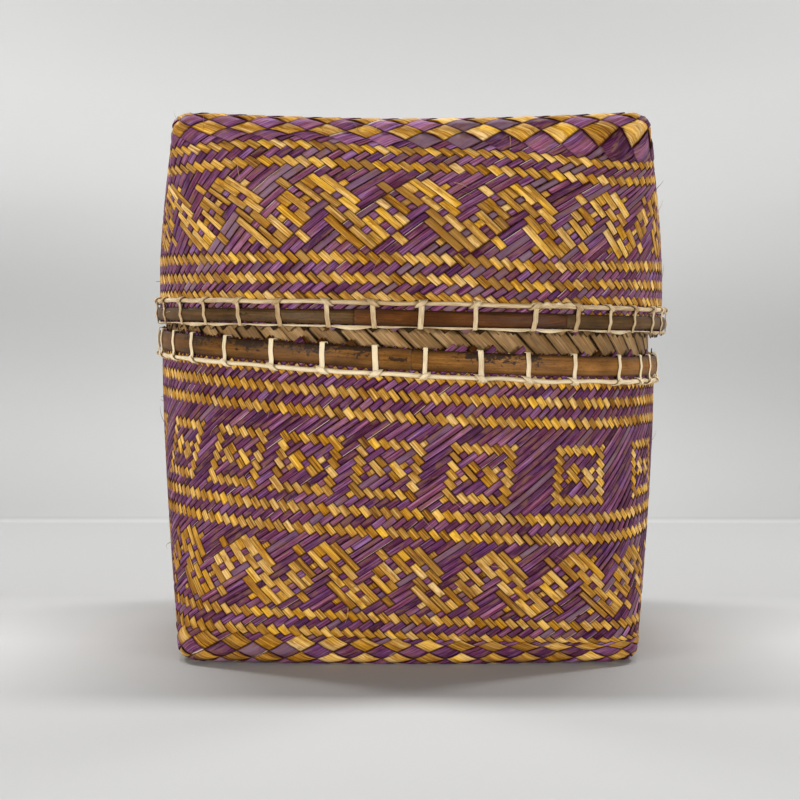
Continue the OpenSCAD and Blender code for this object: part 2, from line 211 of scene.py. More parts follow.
class WovenForm:
    """One box, mouth up, in millimetres. A place on it is s, strips round from the middle of the front
    side, and j, crossings up from where the strips are split; marks tell which share of the wall each
    level reaches. Below the first mark j runs round the edge, and then inwards over the floor."""

    def __init__(self, scene, box, strips, marks, lean, edge_levels, wall_inset, floor_inset,
                 tilt=(0, 0), swells=(), level_top=None):
        f = scene.bamboo_form
        if box == "base":
            sizes = (f.base_rim_radius, f.foot_side / 2, f.base_rim_height, f.base_round_height, f.foot_curl)
            self.slope = (-math.tan(f.base_rim_slope), 0)
        else:
            sizes = (f.lid_rim_radius, f.top_side / 2, f.lid_depth, f.lid_round_height, -f.top_peak)
            self.slope = lid_slope(f)
        self.rim_r, self.foot_half, self.top_h, self.round_h, self.curl = (size / MM for size in sizes)
        if level_top is not None:
            self.top_h, self.slope = level_top, (0, 0)
        self.edge_r, self.corner_r = f.edge_radius / MM, f.corner_radius / MM
        self.start_half = self.foot_half - self.edge_r
        self.start_r = self.corner_r - min(self.edge_r, self.corner_r / 2)
        self.strips, self.side = strips, strips / 4
        self.mark_levels, self.mark_shares = (np.array(row, float) for row in zip(*marks))
        self.levels = float(np.interp(1.0, self.mark_shares, self.mark_levels))
        self.wall_from = marks[0][0]
        self.edge_levels = edge_levels
        self.floor_from = edge_levels - self.wall_from
        self.lean, self.tilt, self.swells = lean, tilt, swells
        self.inset, self.floor_inset = wall_inset, floor_inset

    def climb(self, s, j):
        """Share of the wall's height; rows wander up and down, but not at the edge and the rim"""
        share = np.interp(j, self.mark_levels, self.mark_shares)
        kept = np.clip(share / CALM_EDGE, 0, 1) * np.clip((1 - share) / CALM_RIM, 0, 1)
        turn = 360 * s / self.strips
        wander = (self.tilt[0] + self.tilt[1] * share) * np.sin(np.radians(turn))
        for middle, spread, low, high in self.swells:
            away = (turn - middle + 180) % 360 - 180
            wander = wander + (low + (high - low) * share) * np.exp(-(away / spread) ** 2)
        return share + kept * wander

    def at(self, s, j):
        s, j = np.broadcast_arrays(np.asarray(s, float), np.asarray(j, float))
        side, edge_r = self.side, self.edge_r
        turn = np.round(s / side)
        edge = np.clip((self.wall_from - j) / self.edge_levels, 0, 1)
        inward = np.clip(-self.floor_from - j, 0, side - 0.01)
        size = 1 - inward / side
        loc = np.clip(s - turn * side, -side * size / 2, side * size / 2)
        climb = self.climb(s, j)
        height = edge_r + climb * (self.top_h - edge_r)
        rounding = np.clip((height - edge_r) / (self.round_h - edge_r), 0, 1)
        rounding = 1 - (1 - rounding) ** TURN_POWER
        bend = np.cos(edge * math.pi / 2)
        wall_half = self.foot_half * (1 - rounding) + self.rim_r * rounding - self.inset
        wall_corner = self.corner_r * (1 - rounding) + self.rim_r * rounding - self.inset
        foot_half = (self.start_half + (edge_r - self.inset) * bend) * size
        foot_corner = (self.start_r + (self.corner_r - self.inset - self.start_r) * bend) * size
        on_wall = j >= self.wall_from
        half = np.where(on_wall, wall_half, foot_half)
        corner = np.where(on_wall, wall_corner, foot_corner)
        straight = half - corner
        # Evenly spaced along the outline, as on the wall
        along = loc / (side / 2) * (straight + corner * math.pi / 4)
        swept = np.clip(np.abs(along) - straight, 0, None) / corner
        wall_x = np.clip(along, -straight, straight) + np.sign(along) * corner * np.sin(swept)
        wall_y = straight + corner * np.cos(swept)
        # Evenly spaced along a square, as on the floor, and drawn in at the rounded corners
        floor_x = loc / (side / 2) * half / size
        slant = np.arctan2(np.abs(floor_x), half)
        cos_s, sin_s = np.cos(slant), np.sin(slant)
        reach = np.sqrt(np.clip(corner ** 2 - (straight * (cos_s - sin_s)) ** 2, 0, None))
        drawn = np.where(np.abs(floor_x) <= straight, 1,
                         (straight * (cos_s + sin_s) + reach) * cos_s / half)
        x = wall_x * (1 - edge) + floor_x * drawn * edge
        y = -(wall_y * (1 - edge) + half * drawn * edge)
        cornered = np.clip((np.hypot(x, y) / half - 1) / (math.sqrt(2) - 1), 0, None)
        cos_t, sin_t = np.cos(turn * math.pi / 2), np.sin(turn * math.pi / 2)
        x, y = x * cos_t - y * sin_t, x * sin_t + y * cos_t
        top = self.top_h + self.slope[0] * x + self.slope[1] * y
        wall_z = edge_r + climb * (top - edge_r)
        wall_z = wall_z + np.clip(1 - climb, 0, 1) ** CURL_FADE * self.curl * cornered
        flat = np.clip((size - FLAT_SHARE) / (1 - FLAT_SHARE), 0, 1)
        foot_z = edge_r - (edge_r - self.floor_inset) * np.sin(edge * math.pi / 2)
        z = np.where(on_wall, wall_z, foot_z + self.curl * cornered * flat)
        return np.stack([x, y, z], -1)

    def place(self, a, b):
        """s and j of the crossing of left-rising lane a with right-rising lane b"""
        j = a - b
        return (a + b) / 2 + self.lean * np.clip(j, 0, None), j

    def diagonal(self, lane, way):
        """Where a lane ends on the floor's diagonal; way is 1 for left-rising lanes, -1 for the others"""
        edge = self.floor_from / 2
        return self.side * round((lane + way * edge) / self.side) + way * (self.side / 2 + edge)

    def normal(self, s, j):
        round_it = self.at(s + SLOPE_STEP, j) - self.at(s - SLOPE_STEP, j)
        up_it = self.at(s, j + SLOPE_STEP) - self.at(s, j - SLOPE_STEP)
        n = np.cross(round_it, up_it)
        size = np.linalg.norm(n, axis=-1, keepdims=True)
        return np.where(size > 1e-6, n / np.maximum(size, 1e-9), [0.0, 0.0, -1.0])


def lid_slope(form):
    fall = math.tan(form.lid_rim_slope)
    return fall * math.cos(form.lid_low_side), -fall * math.sin(form.lid_low_side)


def to_world(scene, box, points):
    """From a box's own mouth-up millimetres to the closed box, in metres"""
    if box == "lid":
        f = scene.bamboo_form
        points = points * [1, -1, -1] + [f.lid_shift / MM, 0, f.box_height / MM]
    return points * MM


# Rim places, in millimetres of the closed box

def rim_height(scene, box, x, y):
    f = scene.bamboo_form
    if box == "base":
        return f.base_rim_height / MM - math.tan(f.base_rim_slope) * x
    sx, sy = lid_slope(f)
    return (f.box_height - f.lid_depth) / MM - (sx * (x - f.lid_shift / MM) - sy * y)


def rim_gap(scene, x, y):
    return rim_height(scene, "lid", x, y) - rim_height(scene, "base", x, y)


def rim_point(scene, box, turn, radius, rise):
    """turn in degrees from the front towards +X; rise from the rim plane, out of the box's mouth"""
    turn = np.radians(turn)
    x = radius * np.sin(turn)
    y = -radius * np.cos(turn)
    if box == "lid":
        x = x + scene.bamboo_form.lid_shift / MM
    way = 1 if box == "base" else -1
    return np.stack(np.broadcast_arrays(x, y, rim_height(scene, box, x, y) + way * rise), -1)


# Meshes

def put_in_scene(name, data):
    made = bpy.data.objects.new(name, data)
    bpy.context.scene.collection.objects.link(made)
    return made


def new_piece(name, points, faces, material, body, replaced):
    mesh = bpy.data.meshes.new(name)
    mesh.from_pydata(points.tolist(), [], faces)
    mesh.materials.append(material)
    piece = put_in_scene(name, mesh)
    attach(piece, body)
    if replaced:
        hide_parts(*replaced)
    return piece


def set_smooth(mesh, flags):
    mesh.polygons.foreach_set("use_smooth", np.asarray(flags, bool))


def set_tone(mesh, tones):
    layer = mesh.attributes.new("tone", "FLOAT_COLOR", "POINT")
    layer.data.foreach_set("color", np.asarray(tones, np.float32).ravel())


def set_across(mesh, values):
    layer = mesh.attributes.new("across", "FLOAT", "POINT")
    layer.data.foreach_set("value", np.asarray(values, np.float32).ravel())


def set_uv(mesh, name, values):
    layer = mesh.uv_layers.new(name=name)
    layer.data.foreach_set("uv", np.asarray(values, np.float32).ravel())


class Strip:
    """One strip: the lane it keeps to, the places along it, and how it lies there"""

    def __init__(self, lane, cross, rise, half, tone):
        self.lane = lane
        self.cross = np.asarray(cross, float)
        self.rise = np.asarray(rise, float)
        self.half = np.broadcast_to(np.asarray(half, float), self.cross.shape)
        self.tone = tone


# Corners of a strip's section: three on top and two below, with their place across the strip
SECTION = 5
# Places past 1 give a strip's sides and underside the painted shade of the seams
ACROSS = (-1.0, 0.0, 1.0, 1.15, -1.15)
CROWN = 0.06
# Places round the section in the grain, in strip widths, and in a strip's own row of the bake
GRAIN_SHARES = np.array([0, 0.5, 1.0, 1.1, 1.9, 2.0])
GRAIN_BAND = 23.7
BAKE_SHARES = np.array([0.03, 0.32, 0.61, 0.69, 0.89, 0.97])
BAKE_COLUMNS = 2
BAKE_START, BAKE_LENGTH = 0.01, 0.97


def lay_strips(scene, name, box, form, strips, left_rising, material, replaced):
    """Turns strips into one mesh"""
    thickness = scene.bamboo_weave.strip_thickness / MM
    count = [len(strip.cross) for strip in strips]
    ids = np.repeat(np.arange(len(strips)), count)
    lane = np.concatenate([np.full(n, strip.lane) for n, strip in zip(count, strips)])
    cross, rise, half = (np.concatenate([getattr(strip, part) for strip in strips])
                         for part in ("cross", "rise", "half"))
    corners = np.zeros((len(ids), SECTION, 3))
    for offset, top, bottom in ((-1, 0, 4), (0, 1, None), (1, 2, 3)):
        kept = lane + offset * half
        s, j = form.place(kept, cross) if left_rising else form.place(cross, kept)
        point = form.at(s, j)
        out = form.normal(s, j)
        lift = rise + thickness / 2 + (thickness * CROWN if offset == 0 else 0)
        corners[:, top] = point + out * lift[:, None]
        if bottom is not None:
            corners[:, bottom] = point + out * (rise - thickness / 2)[:, None]
    same = ids[1:] == ids[:-1]
    steps = np.zeros(len(ids))
    steps[1:] = np.where(same, np.linalg.norm(np.diff(corners[:, 1], axis=0), axis=1), 0)
    run = np.cumsum(steps)
    starts = np.concatenate([[0], np.cumsum(count)[:-1]])
    ends = starts + np.array(count) - 1
    run = run - run[starts][ids]
    near = np.nonzero(same)[0]
    far = near + 1
    p = np.arange(SECTION)
    q = (p + 1) % SECTION
    rounds = ((near, p), (far, p), (far, q), (near, q))
    quads = np.stack([at[:, None] * SECTION + side for at, side in rounds], -1)
    faces = quads.reshape(-1, 4).tolist()
    faces += (starts[:, None] * SECTION + p).tolist()
    faces += (ends[:, None] * SECTION + p[::-1]).tolist()
    points = to_world(scene, box, corners.reshape(-1, 3))
    piece = new_piece(name, points, faces, material, box, replaced)
    mesh = piece.data
    set_smooth(mesh, np.concatenate([np.tile(p < 2, len(near)), np.zeros(2 * len(starts), bool)]))
    # Painted shade: how deep each face lies, darker outside where the strip swings in and inside where it
    # swings out
    swung = rise[:, None] * MM / scene.bamboo_weave.swing / 2
    tones = np.repeat(np.array([strip.tone for strip in strips])[ids][:, None], SECTION, axis=1)
    tones[:, :3, 2] = np.clip(0.5 - swung, 0, 1)
    tones[:, 3:, 2] = np.clip(0.5 + swung, 0, 1)
    set_tone(mesh, tones.reshape(-1, 4))
    set_across(mesh, np.tile(ACROSS, len(ids)))
    # Grain runs along the strip; every strip lies in its own band of the grain
    width = np.linalg.norm(corners[:, 2] - corners[:, 0], axis=1)
    band = width[:, None] * GRAIN_SHARES + ids[:, None] * GRAIN_BAND
    set_uv(mesh, "grain", strip_uv(run, band, near, far, starts, ends))
    rows = math.ceil(len(strips) / BAKE_COLUMNS)
    column, row = ids % BAKE_COLUMNS, ids // BAKE_COLUMNS
    bake_u = (column + BAKE_START + BAKE_LENGTH * run / run.max()) / BAKE_COLUMNS
    bake_v = (row[:, None] + BAKE_SHARES) / rows
    set_uv(mesh, "OFBake", strip_uv(bake_u, bake_v, near, far, starts, ends))
    return piece


def strip_uv(u, v, near, far, starts, ends):
    def corner(at, columns):
        return np.stack(np.broadcast_arrays(u[at][:, None], v[at][:, columns]), -1)
    p = np.arange(SECTION)
    sides = np.stack([corner(near, p), corner(far, p), corner(far, p + 1), corner(near, p + 1)], 2)
    return np.concatenate([part.reshape(-1, 2) for part in (sides, corner(starts, p), corner(ends, p[::-1]))])


# Weaving drafts. Each lists, for a left-rising strip so many lanes from the motif's middle, the levels
# where it lies on top. Lanes on the other side of the middle are the same turned half round.

WAVE_DRAFT = {
    0: (-6, -5, -3, -2, -1, 1, 2, 3, 5, 6),
    1: (-5, -4, -3, -2, 0, 1, 2, 4, 5, 6, 7),
    2: (-6, -5, -2, 2, 3, 4, 5, 6, 7),
    3: (-3, -2, -1, 0, 6),
    4: (-2, -1, 1, 2),
}
WAVE_REPEAT = 8
SQUARE_DRAFT = {
    0: (-6, -5, -2, -1, 1, 2, 5, 6),
    1: (-4, -3, -1, 0, 1, 5, 6),
    2: (-2, -1, 1, 5, 6),
    3: (0, 1, 5, 6),
    4: (2, 3, 5, 6),
    5: (4, 5, 6),
    6: (6,),
}
ROW_LEVELS = 2
ROWS = {"base": (1, 5, 25, 29, 50, 54, 58, 62, 66), "lid": (1, 5, 25, 29, 33, 37)}
# Level and lane of one wave's middle
WAVE = {"base": (15, 16), "lid": (16, 77)}
# Level of the squares' middles, and their lanes
SQUARES = {
    "base": (39, (-11, -2, 6, 14, 23, 34, 46, 56, 66, 76, 86, 96, 107, 117, 127, 137, 147)),
    "lid": (0, ()),
}
TABLE_LEVELS = 78
# Which share of the wall's height each level of crossings reaches, from edge to rim and a little past it
MARKS = {
    "base": ((-5, 0.0), (1.5, 0.054), (5.5, 0.114), (15, 0.246), (25.5, 0.398), (29.5, 0.466), (39, 0.607),
             (50.5, 0.776), (54.5, 0.846), (58.5, 0.907), (64.5, 1.0), (74.5, 1.15)),
    "lid": ((-5, 0.0), (1.5, 0.100), (5.5, 0.186), (16, 0.414), (25.5, 0.655), (29.5, 0.760), (33.5, 0.853),
            (40, 1.0), (50, 1.235)),
}
# How far rows tilt across the box, and the places where they swell up or down: turn, spread, and shares of
# the height at the edge and at the rim
TILT = {"base": (-0.0465, 0.037), "lid": (0, 0)}
SWELLS = {
    "base": ((70, 16, 0.05, 0.0),),
    "lid": ((204, 15, -0.0375, 0.0094), (138, 22, 0.075, -0.0188), (154, 11, -0.006, 0.0337)),
}
# From the outside of a weave to the middle between its two layers
SKIN_INSET = 0.5


def outer_form(scene, box):
    w = scene.bamboo_weave
    return WovenForm(scene, box, getattr(w, f"{box}_strips"), MARKS[box], getattr(w, f"{box}_lean"),
                     w.edge_levels, SKIN_INSET, SKIN_INSET, TILT[box], SWELLS[box])


def draft_levels(draft, lane):
    levels = draft.get(abs(lane), ())
    return levels if lane >= 0 else tuple(-level for level in levels)


def draft_table(box, strips):
    """Where a left-rising strip lies on top, by lane and level"""
    table = np.zeros((strips, TABLE_LEVELS), bool)
    for row in ROWS[box]:
        table[:, row:row + ROW_LEVELS] = True
    wave_level, wave_lane = WAVE[box]
    half = WAVE_REPEAT // 2
    for lane in range(strips):
        nearest = (lane - wave_lane + half) % WAVE_REPEAT - half
        for level in draft_levels(WAVE_DRAFT, nearest):
            table[lane, wave_level + level] = True
    reach = max(SQUARE_DRAFT)
    squares_level, middles = SQUARES[box]
    for middle in middles:
        for lane in range(-reach, reach + 1):
            for level in draft_levels(SQUARE_DRAFT, lane):
                table[(middle + lane) % strips, squares_level + level] = True
    return table


# Plaiting

def floats(crossings, over, hold, longest, arch=0.0):
    """Points that carry a strip over and under its crossings, few on each straight run"""
    along, level = [], []
    way = 1 if crossings[-1] > crossings[0] else -1
    first = 0
    while first < len(over):
        last = first
        while last + 1 < len(over) and over[last + 1] == over[first]:
            last += 1
        start = crossings[first] - way * hold
        stop = crossings[last] + way * hold
        steps = max(1, round(abs(stop - start) / longest))
        for step in range(steps + 1):
            along.append(start + (stop - start) * step / steps)
            level.append(1.0 + arch * math.sin(math.pi * step / steps) if over[first] else -1.0)
        first = last + 1
    return along, level


# How far a strip holds its level past a crossing, and the longest step along it, in lanes
NARROW_HOLD, NARROW_STEP = 0.22, 2.3
WIDE_HOLD, WIDE_STEP = 1.15, 0.8
LINING_HOLD, LINING_STEP = 0.24, 1.4
# How close to a strip's end its last point may lie, and how far strips stray sideways, in lanes
NARROW_TRIM, WIDE_TRIM, LINING_TRIM = 0.15, 0.2, 0.1
NARROW_STRAY, WIDE_STRAY, LINING_STRAY = 0.035, 0.05, 0.03
# Narrow strips to a wide one, and how high a wide one arches between crossings
WIDE, ARCH = 3, 1.5
# Where narrow strips end and wide ones start round the split; a wide purple one starts sooner where it
# goes over first
GOLD_TAIL, PURPLE_TAIL = 2.3, 1.0
GOLD_START, PURPLE_START = 0.9, {True: 1.9, False: 2.7}
# Widths as shares of the usual one; a few strips are split thin
COMMON_WIDTH, THIN_WIDTH = (0.95, 1.03), (0.70, 0.90)
THIN_CHANCE = 0.14
WIDE_WIDTH, LINING_WIDTH = (0.97, 1.02), (0.9, 1.02)
RIPPLE, LIFT = (0.96, 1.04), 0.03
GOLD_WIDTH, PURPLE_WIDTH = 1.03, 0.95
# Where raw ends are cut, in millimetres past the rim; a few are left long where the rims leave room
RAW_CUT = (-0.9, -0.35)
LONG_CHANCE = 0.16
ROOM_NEEDED, ROOM_SHARE, LONGEST_END = 2.6, 0.42, 2.2
RIM_LEVEL = 1.75


def cut_to(along, level, way, start, stop, trim, first=None, last=None):
    """A strip's points between start and stop; its ends keep the level beside them unless one is given"""
    keep = [i for i, place in enumerate(along)
            if (place - start) * way > trim and (stop - place) * way > trim]
    first = level[keep[0]] if first is None else first
    last = level[keep[-1]] if last is None else last
    return [start] + [along[i] for i in keep] + [stop], [first] + [level[i] for i in keep] + [last]


class Plait:
    """Makes the strips of one outer weave: narrow on the wall, three to a wide one round the foot"""

    def __init__(self, scene, box, form, gold_first, tone_of, random):
        self.scene, self.box, self.form = scene, box, form
        self.gold_first, self.tone_of, self.random = gold_first, tone_of, random
        self.table = draft_table(box, form.strips)
        self.swing = scene.bamboo_weave.swing / MM
        self.fill = scene.bamboo_weave.strip_fill / 2

    def on_top(self, a, j):
        if j < 1 or j >= self.table.shape[1]:
            return False
        return bool(self.table[a % self.form.strips, j])

    def half_width(self, left_rising):
        wide = self.random.uniform(*COMMON_WIDTH)
        if self.random.random() < THIN_CHANCE:
            wide = self.random.uniform(*THIN_WIDTH)
        return self.fill * wide * (GOLD_WIDTH if left_rising else PURPLE_WIDTH)

    def rim_level(self, lane, way):
        """Level at which a strip's raw end is cut, a little past the rim where the rims leave room"""
        form = self.form
        s = lane - way * 0.5 * form.levels + form.lean * form.levels
        x, y = form.at(s, form.levels)[:2]
        past = self.random.uniform(*RAW_CUT)
        y = y if self.box == "base" else -y
        room = (rim_gap(self.scene, x, y) - ROOM_NEEDED) * ROOM_SHARE
        room = min(LONGEST_END, max(0.0, room))
        if self.random.random() < LONG_CHANCE:
            past = max(past, room * self.random.uniform(0.3, 1.0))
        return form.levels + past / RIM_LEVEL

    def narrow(self, lane, left_rising):
        way = 1 if left_rising else -1
        end = lane - way * self.rim_level(lane, way)
        if left_rising:
            foot = lane // WIDE * WIDE
            crossings = list(range(math.ceil(end), foot + 2))
            over = [self.on_top(lane, lane - b) for b in crossings]
            tail = foot + GOLD_TAIL
        else:
            foot = (lane - 2) // WIDE * WIDE
            crossings = list(range(math.floor(end), foot + 2, -1))
            over = [not self.on_top(a, a - lane) for a in crossings]
            tail = foot + PURPLE_TAIL
        along, level = floats(crossings, over, NARROW_HOLD, NARROW_STEP)
        along, level = cut_to(along, level, way, end, tail, NARROW_TRIM, last=-1.0)
        return self.strip(lane, along, level, self.half_width(left_rising), NARROW_STRAY, left_rising)

    def wide(self, block, left_rising):
        form = self.form
        way = 1 if left_rising else -1
        foot = WIDE * block
        lane, first = (foot + 1, foot + 3) if left_rising else (foot + 3, foot + 1)
        start = foot + (GOLD_START if left_rising else PURPLE_START[self.gold_first])
        stop = form.diagonal(lane, way)
        places = np.arange(first, stop, way * WIDE)
        if len(places) < 2:
            return None
        first_over = self.gold_first == left_rising
        over = [(m % 2 == 0) == first_over for m in range(len(places))]
        along, level = floats(list(places), over, WIDE_HOLD, WIDE_STEP, ARCH)
        if self.box == "base":
            level = [min(up, 1.0) if abs(place - lane) > form.floor_from - 1 else up
                     for place, up in zip(along, level)]
        along, level = cut_to(along, level, way, start, stop, WIDE_TRIM, first=-1.0)
        half = WIDE * self.fill * self.random.uniform(*WIDE_WIDTH)
        return self.strip(lane, along, level, half, WIDE_STRAY, left_rising)

    def strip(self, lane, along, level, half, stray, left_rising):
        drift = self.random.uniform(-stray, stray)
        ripple = self.random.uniform(*RIPPLE, len(along))
        lift = self.random.uniform(-LIFT, LIFT)
        return Strip(lane + drift, along, np.array(level) * self.swing + lift, half * ripple,
                     self.tone_of(self.random, left_rising))

    def all(self, left_rising):
        strips = [self.narrow(lane, left_rising) for lane in range(self.form.strips)]
        wide = [self.wide(block, left_rising) for block in range(self.form.strips // WIDE)]
        return strips + [strip for strip in wide if strip]


def dyed_tone(random, left_rising, purple_depth=0.44, gold_depth=0.54):
    """Depth of colour, fading, room for the painted shade where the strip dives, and how bare a split edge is
    """
    bare = 0.0
    if left_rising:
        depth = np.clip(random.normal(gold_depth, 0.17), 0.08, 1.0)
        faded = random.uniform(0.5, 0.9) if random.random() < 0.08 else random.uniform(0, 0.12)
    else:
        depth = np.clip(random.normal(purple_depth, 0.155), 0.05, 0.95)
        faded = random.uniform(0.45, 0.95) if random.random() < 0.12 else random.uniform(0, 0.10)
        bare = 1.0 if random.random() < 0.22 else 0.0
    return depth, faded, 0.0, bare


def deep_tone(random, left_rising):
    """For the base: the same, with deeper mean colours"""
    return dyed_tone(random, left_rising, 0.37, 0.45)


def natural_tone(random):
    """The same four values for undyed strips"""
    depth = np.clip(random.normal(0.48, 0.2), 0.05, 1.0)
    return depth, random.uniform(0, 0.3), 0.0, 0.0


def lining_strips(form, weave, random, left_rising, collar_row):
    """Wide natural strips in over-two, under-two twill, with one row of longer floats at collar_row"""
    strips = []
    way = 1 if left_rising else -1
    for lane in range(form.strips):
        end, stop = lane - way * form.levels, form.diagonal(lane, way)
        crossings = np.arange(end, way * math.ceil(way * stop), way)
        over = []
        for level in way * (lane - crossings):
            left_on_top = level % 4 < 2
            if collar_row and collar_row[0] <= level <= collar_row[1]:
                left_on_top = True
            over.append(left_on_top == left_rising)
        along, level = floats(list(crossings), over, LINING_HOLD, LINING_STEP)
        along, level = cut_to(along, level, way, end, stop, LINING_TRIM)
        half = weave.strip_fill / 2 * random.uniform(*LINING_WIDTH)
        stray = random.uniform(-LINING_STRAY, LINING_STRAY)
        strips.append(Strip(lane + stray, along, np.array(level) * weave.swing / MM, half,
                            natural_tone(random)))
    return strips


# Materials

class Finish:
    """Short hand for wiring one procedural material"""

    def __init__(self, name):
        self.material = bpy.data.materials.new(name)
        self.material.use_nodes = True
        self.tree = self.material.node_tree
        self.surface = self.tree.nodes["Principled BSDF"]

    def put(self, value, socket):
        if isinstance(value, bpy.types.NodeSocket):
            self.tree.links.new(value, socket)
        else:
            socket.default_value = value

    def node(self, kind, **settings):
        made = self.tree.nodes.new(kind)
        for key, value in settings.items():
            setattr(made, key, value)
        return made

    def fed(self, made, values):
        """Puts values or links into a node's inputs"""
        for key, value in values.items():
            self.put(value, made.inputs[key])
        return made

    def math(self, operation, a, b=0.0):
        return self.fed(self.node("ShaderNodeMath", operation=operation), {0: a, 1: b}).outputs[0]

    def times(self, a, b):
        return self.math("MULTIPLY", a, b)

    def mix(self, factor, a, b, blend="MIX"):
        made = self.node("ShaderNodeMix", data_type="RGBA", blend_type=blend, clamp_factor=True)
        a, b = (value if isinstance(value, bpy.types.NodeSocket) else (*value, 1.0) for value in (a, b))
        return self.fed(made, {"Factor": factor, 6: a, 7: b}).outputs[2]

    def noise(self, along, across, detail=2.0, roughness=0.5, distortion=0.0):
        """Uneven marks, so many to the millimetre along the grain and across it"""
        grain = self.tree.nodes.get("grain") or self.node("ShaderNodeUVMap", name="grain", uv_map="grain")
        stretched = self.fed(self.node("ShaderNodeMapping"),
                             {"Vector": grain.outputs["UV"], "Scale": (along, across, 1.0)})
        made = self.node("ShaderNodeTexNoise", noise_dimensions="2D")
        return self.fed(made, {"Vector": stretched.outputs["Vector"], "Scale": 1.0, "Detail": detail,
                               "Roughness": roughness, "Distortion": distortion}).outputs["Fac"]

    def varied(self, value, *marks):
        """value with noises added about their middle, each with its strength"""
        for mark, strength in marks:
            value = self.math("ADD", value, self.times(self.math("SUBTRACT", mark, 0.5), strength))
        return value

    def spread(self, value, low, high, to_low=0.0, to_high=1.0):
        made = self.node("ShaderNodeMapRange", clamp=True)
        return self.fed(made, {"Value": value, "From Min": low, "From Max": high,
                               "To Min": to_low, "To Max": to_high}).outputs["Result"]

    def ramp(self, value, stops):
        made = self.node("ShaderNodeValToRGB")
        made.color_ramp.interpolation = "LINEAR" if len(stops) < 4 else "B_SPLINE"
        elements = made.color_ramp.elements
        while len(elements) < len(stops):
            elements.new(0.5)
        for element, (place, rgb) in zip(elements, stops):
            element.position = place
            element.color = (*rgb, 1.0)
        return self.fed(made, {"Fac": value}).outputs["Color"]

    def tone(self):
        made = self.node("ShaderNodeAttribute", attribute_name="tone")
        parts = self.fed(self.node("ShaderNodeSeparateColor"), {"Color": made.outputs["Color"]})
        return [*parts.outputs, made.outputs["Alpha"]]

    def across(self):
        return self.node("ShaderNodeAttribute", attribute_name="across").outputs["Fac"]

    def bump(self, height, strength, distance):
        made = self.fed(self.node("ShaderNodeBump"),
                        {"Strength": strength, "Distance": distance, "Height": height})
        self.put(made.outputs["Normal"], self.surface.inputs["Normal"])

    def done(self, tint, roughness, gloss):
        self.fed(self.surface, {"Base Color": tint, "Roughness": roughness, "Specular IOR Level": gloss})
        return self.material


# What the colours of the strips are multiplied by where the dye took warmer and cooler
DRIFT = {
    "purple_strips": ((1.13, 0.96, 0.84), (0.88, 0.97, 1.26)),
    "gold_strips": ((1.02, 0.90, 0.36), (0.98, 1.04, 1.85)),
    "natural_strips": ((1.05, 1.0, 0.90), (0.97, 1.0, 1.10)),
}


def strip_finish(name, dark, middle, light, faded_colour, worn_colour, pale, seam_shade_colour):
    """Split bamboo: straight fibres, colour that varies from strip to strip, worn patches and split edges,
    and painted shade between the strips and where they go under others
    """
    f = Finish(name)
    depth, faded, dive_shade, bare = f.tone()
    across = f.across()
    fibre = f.noise(0.06, 2.2, 3.0, 0.65)
    fine = f.noise(0.14, 6.5)
    streak = f.noise(0.03, 1.15)
    patch = f.noise(0.10, 0.22, 3.0, 0.55)
    drift = f.noise(0.04, 0.17)
    rubbed = f.noise(0.13, 0.42, 4.0, 0.62, 0.3)
    gap = f.noise(0.20, 0.8)
    value = f.varied(depth, (fibre, 1.25), (fine, 0.55), (streak, 0.95), (patch, 0.55))
    tint = f.ramp(value, ((0.0, dark), (0.48, middle), (1.0, light)))
    tint = f.mix(1.0, tint, f.mix(f.spread(drift, 0.33, 0.67), *DRIFT[name]), "MULTIPLY")
    tint = f.mix(f.times(faded, f.spread(patch, 0.3, 0.6, 0.45, 1.0)), tint, faded_colour)
    tint = f.mix(f.spread(rubbed, 0.51, 0.67, 0.0, 0.75), tint, worn_colour)
    split = f.times(f.spread(across, 0.80, 0.86), bare)
    split = f.times(split, f.spread(streak, 0.48, 0.54))
    tint = f.mix(split, tint, pale)
    # Painted shade: dark lines where strips meet, and where a strip goes under others
    seam_shade = f.spread(f.math("ABSOLUTE", across), 0.86, 0.98)
    seam_shade = f.times(seam_shade, f.spread(gap, 0.36, 0.58, 0.45, 0.96))
    seam_shade = f.times(seam_shade, f.math("SUBTRACT", 1.0, f.times(split, 0.8)))
    seam_shade = f.math("MAXIMUM", seam_shade, f.spread(dive_shade, 0.10, 0.50, 0.0, 0.94))
    tint = f.mix(seam_shade, tint, seam_shade_colour)
    f.bump(f.math("ADD", fibre, f.times(fine, 0.5)), 0.4, 0.00012)
    return f.done(tint, f.spread(fibre, 0.3, 0.7, 0.40, 0.62), 0.08)


def bark_finish(name, middle, light, mottle_and_shade):
    """Split bamboo pole with its skin on: streaks along it, specks, dark mottled patches, and painted shade
    along its edges and in the base hoop's slit
    """
    f = Finish(name)
    depth, stain_and_slit_shade, edge = f.tone()[:3]
    streak = f.noise(0.030, 1.1, 3.0, 0.6)
    fibre = f.noise(0.12, 6.0)
    cloud = f.noise(0.07, 0.20, 3.0, 0.6)
    speck = f.noise(0.9, 2.2)
    spot = f.noise(0.42, 0.75, 4.0, 0.62, 0.4)
    value = f.varied(depth, (streak, 0.9), (fibre, 0.35), (cloud, 0.9))
    dark = tuple(0.42 * c for c in middle)
    tint = f.ramp(value, ((0.0, dark), (0.45, middle), (1.0, light)))
    tint = f.mix(f.times(f.spread(speck, 0.63, 0.72), 0.55), tint, mottle_and_shade)
    # This mask also carries painted shade in the base hoop's slit
    stain_and_slit_mask = f.spread(f.math("ADD", spot, f.times(stain_and_slit_shade, 0.42)), 0.72, 0.82)
    tint = f.mix(f.times(stain_and_slit_mask, 0.94), tint, mottle_and_shade)
    # Painted shade along the hoop's upper and lower edges and on its inner face
    tint = f.mix(f.times(edge, 0.8), tint, mottle_and_shade)
    f.bump(f.math("ADD", streak, f.times(fibre, 0.6)), 0.5, 0.00022)
    return f.done(tint, f.spread(streak, 0.3, 0.7, 0.34, 0.56), 0.12)


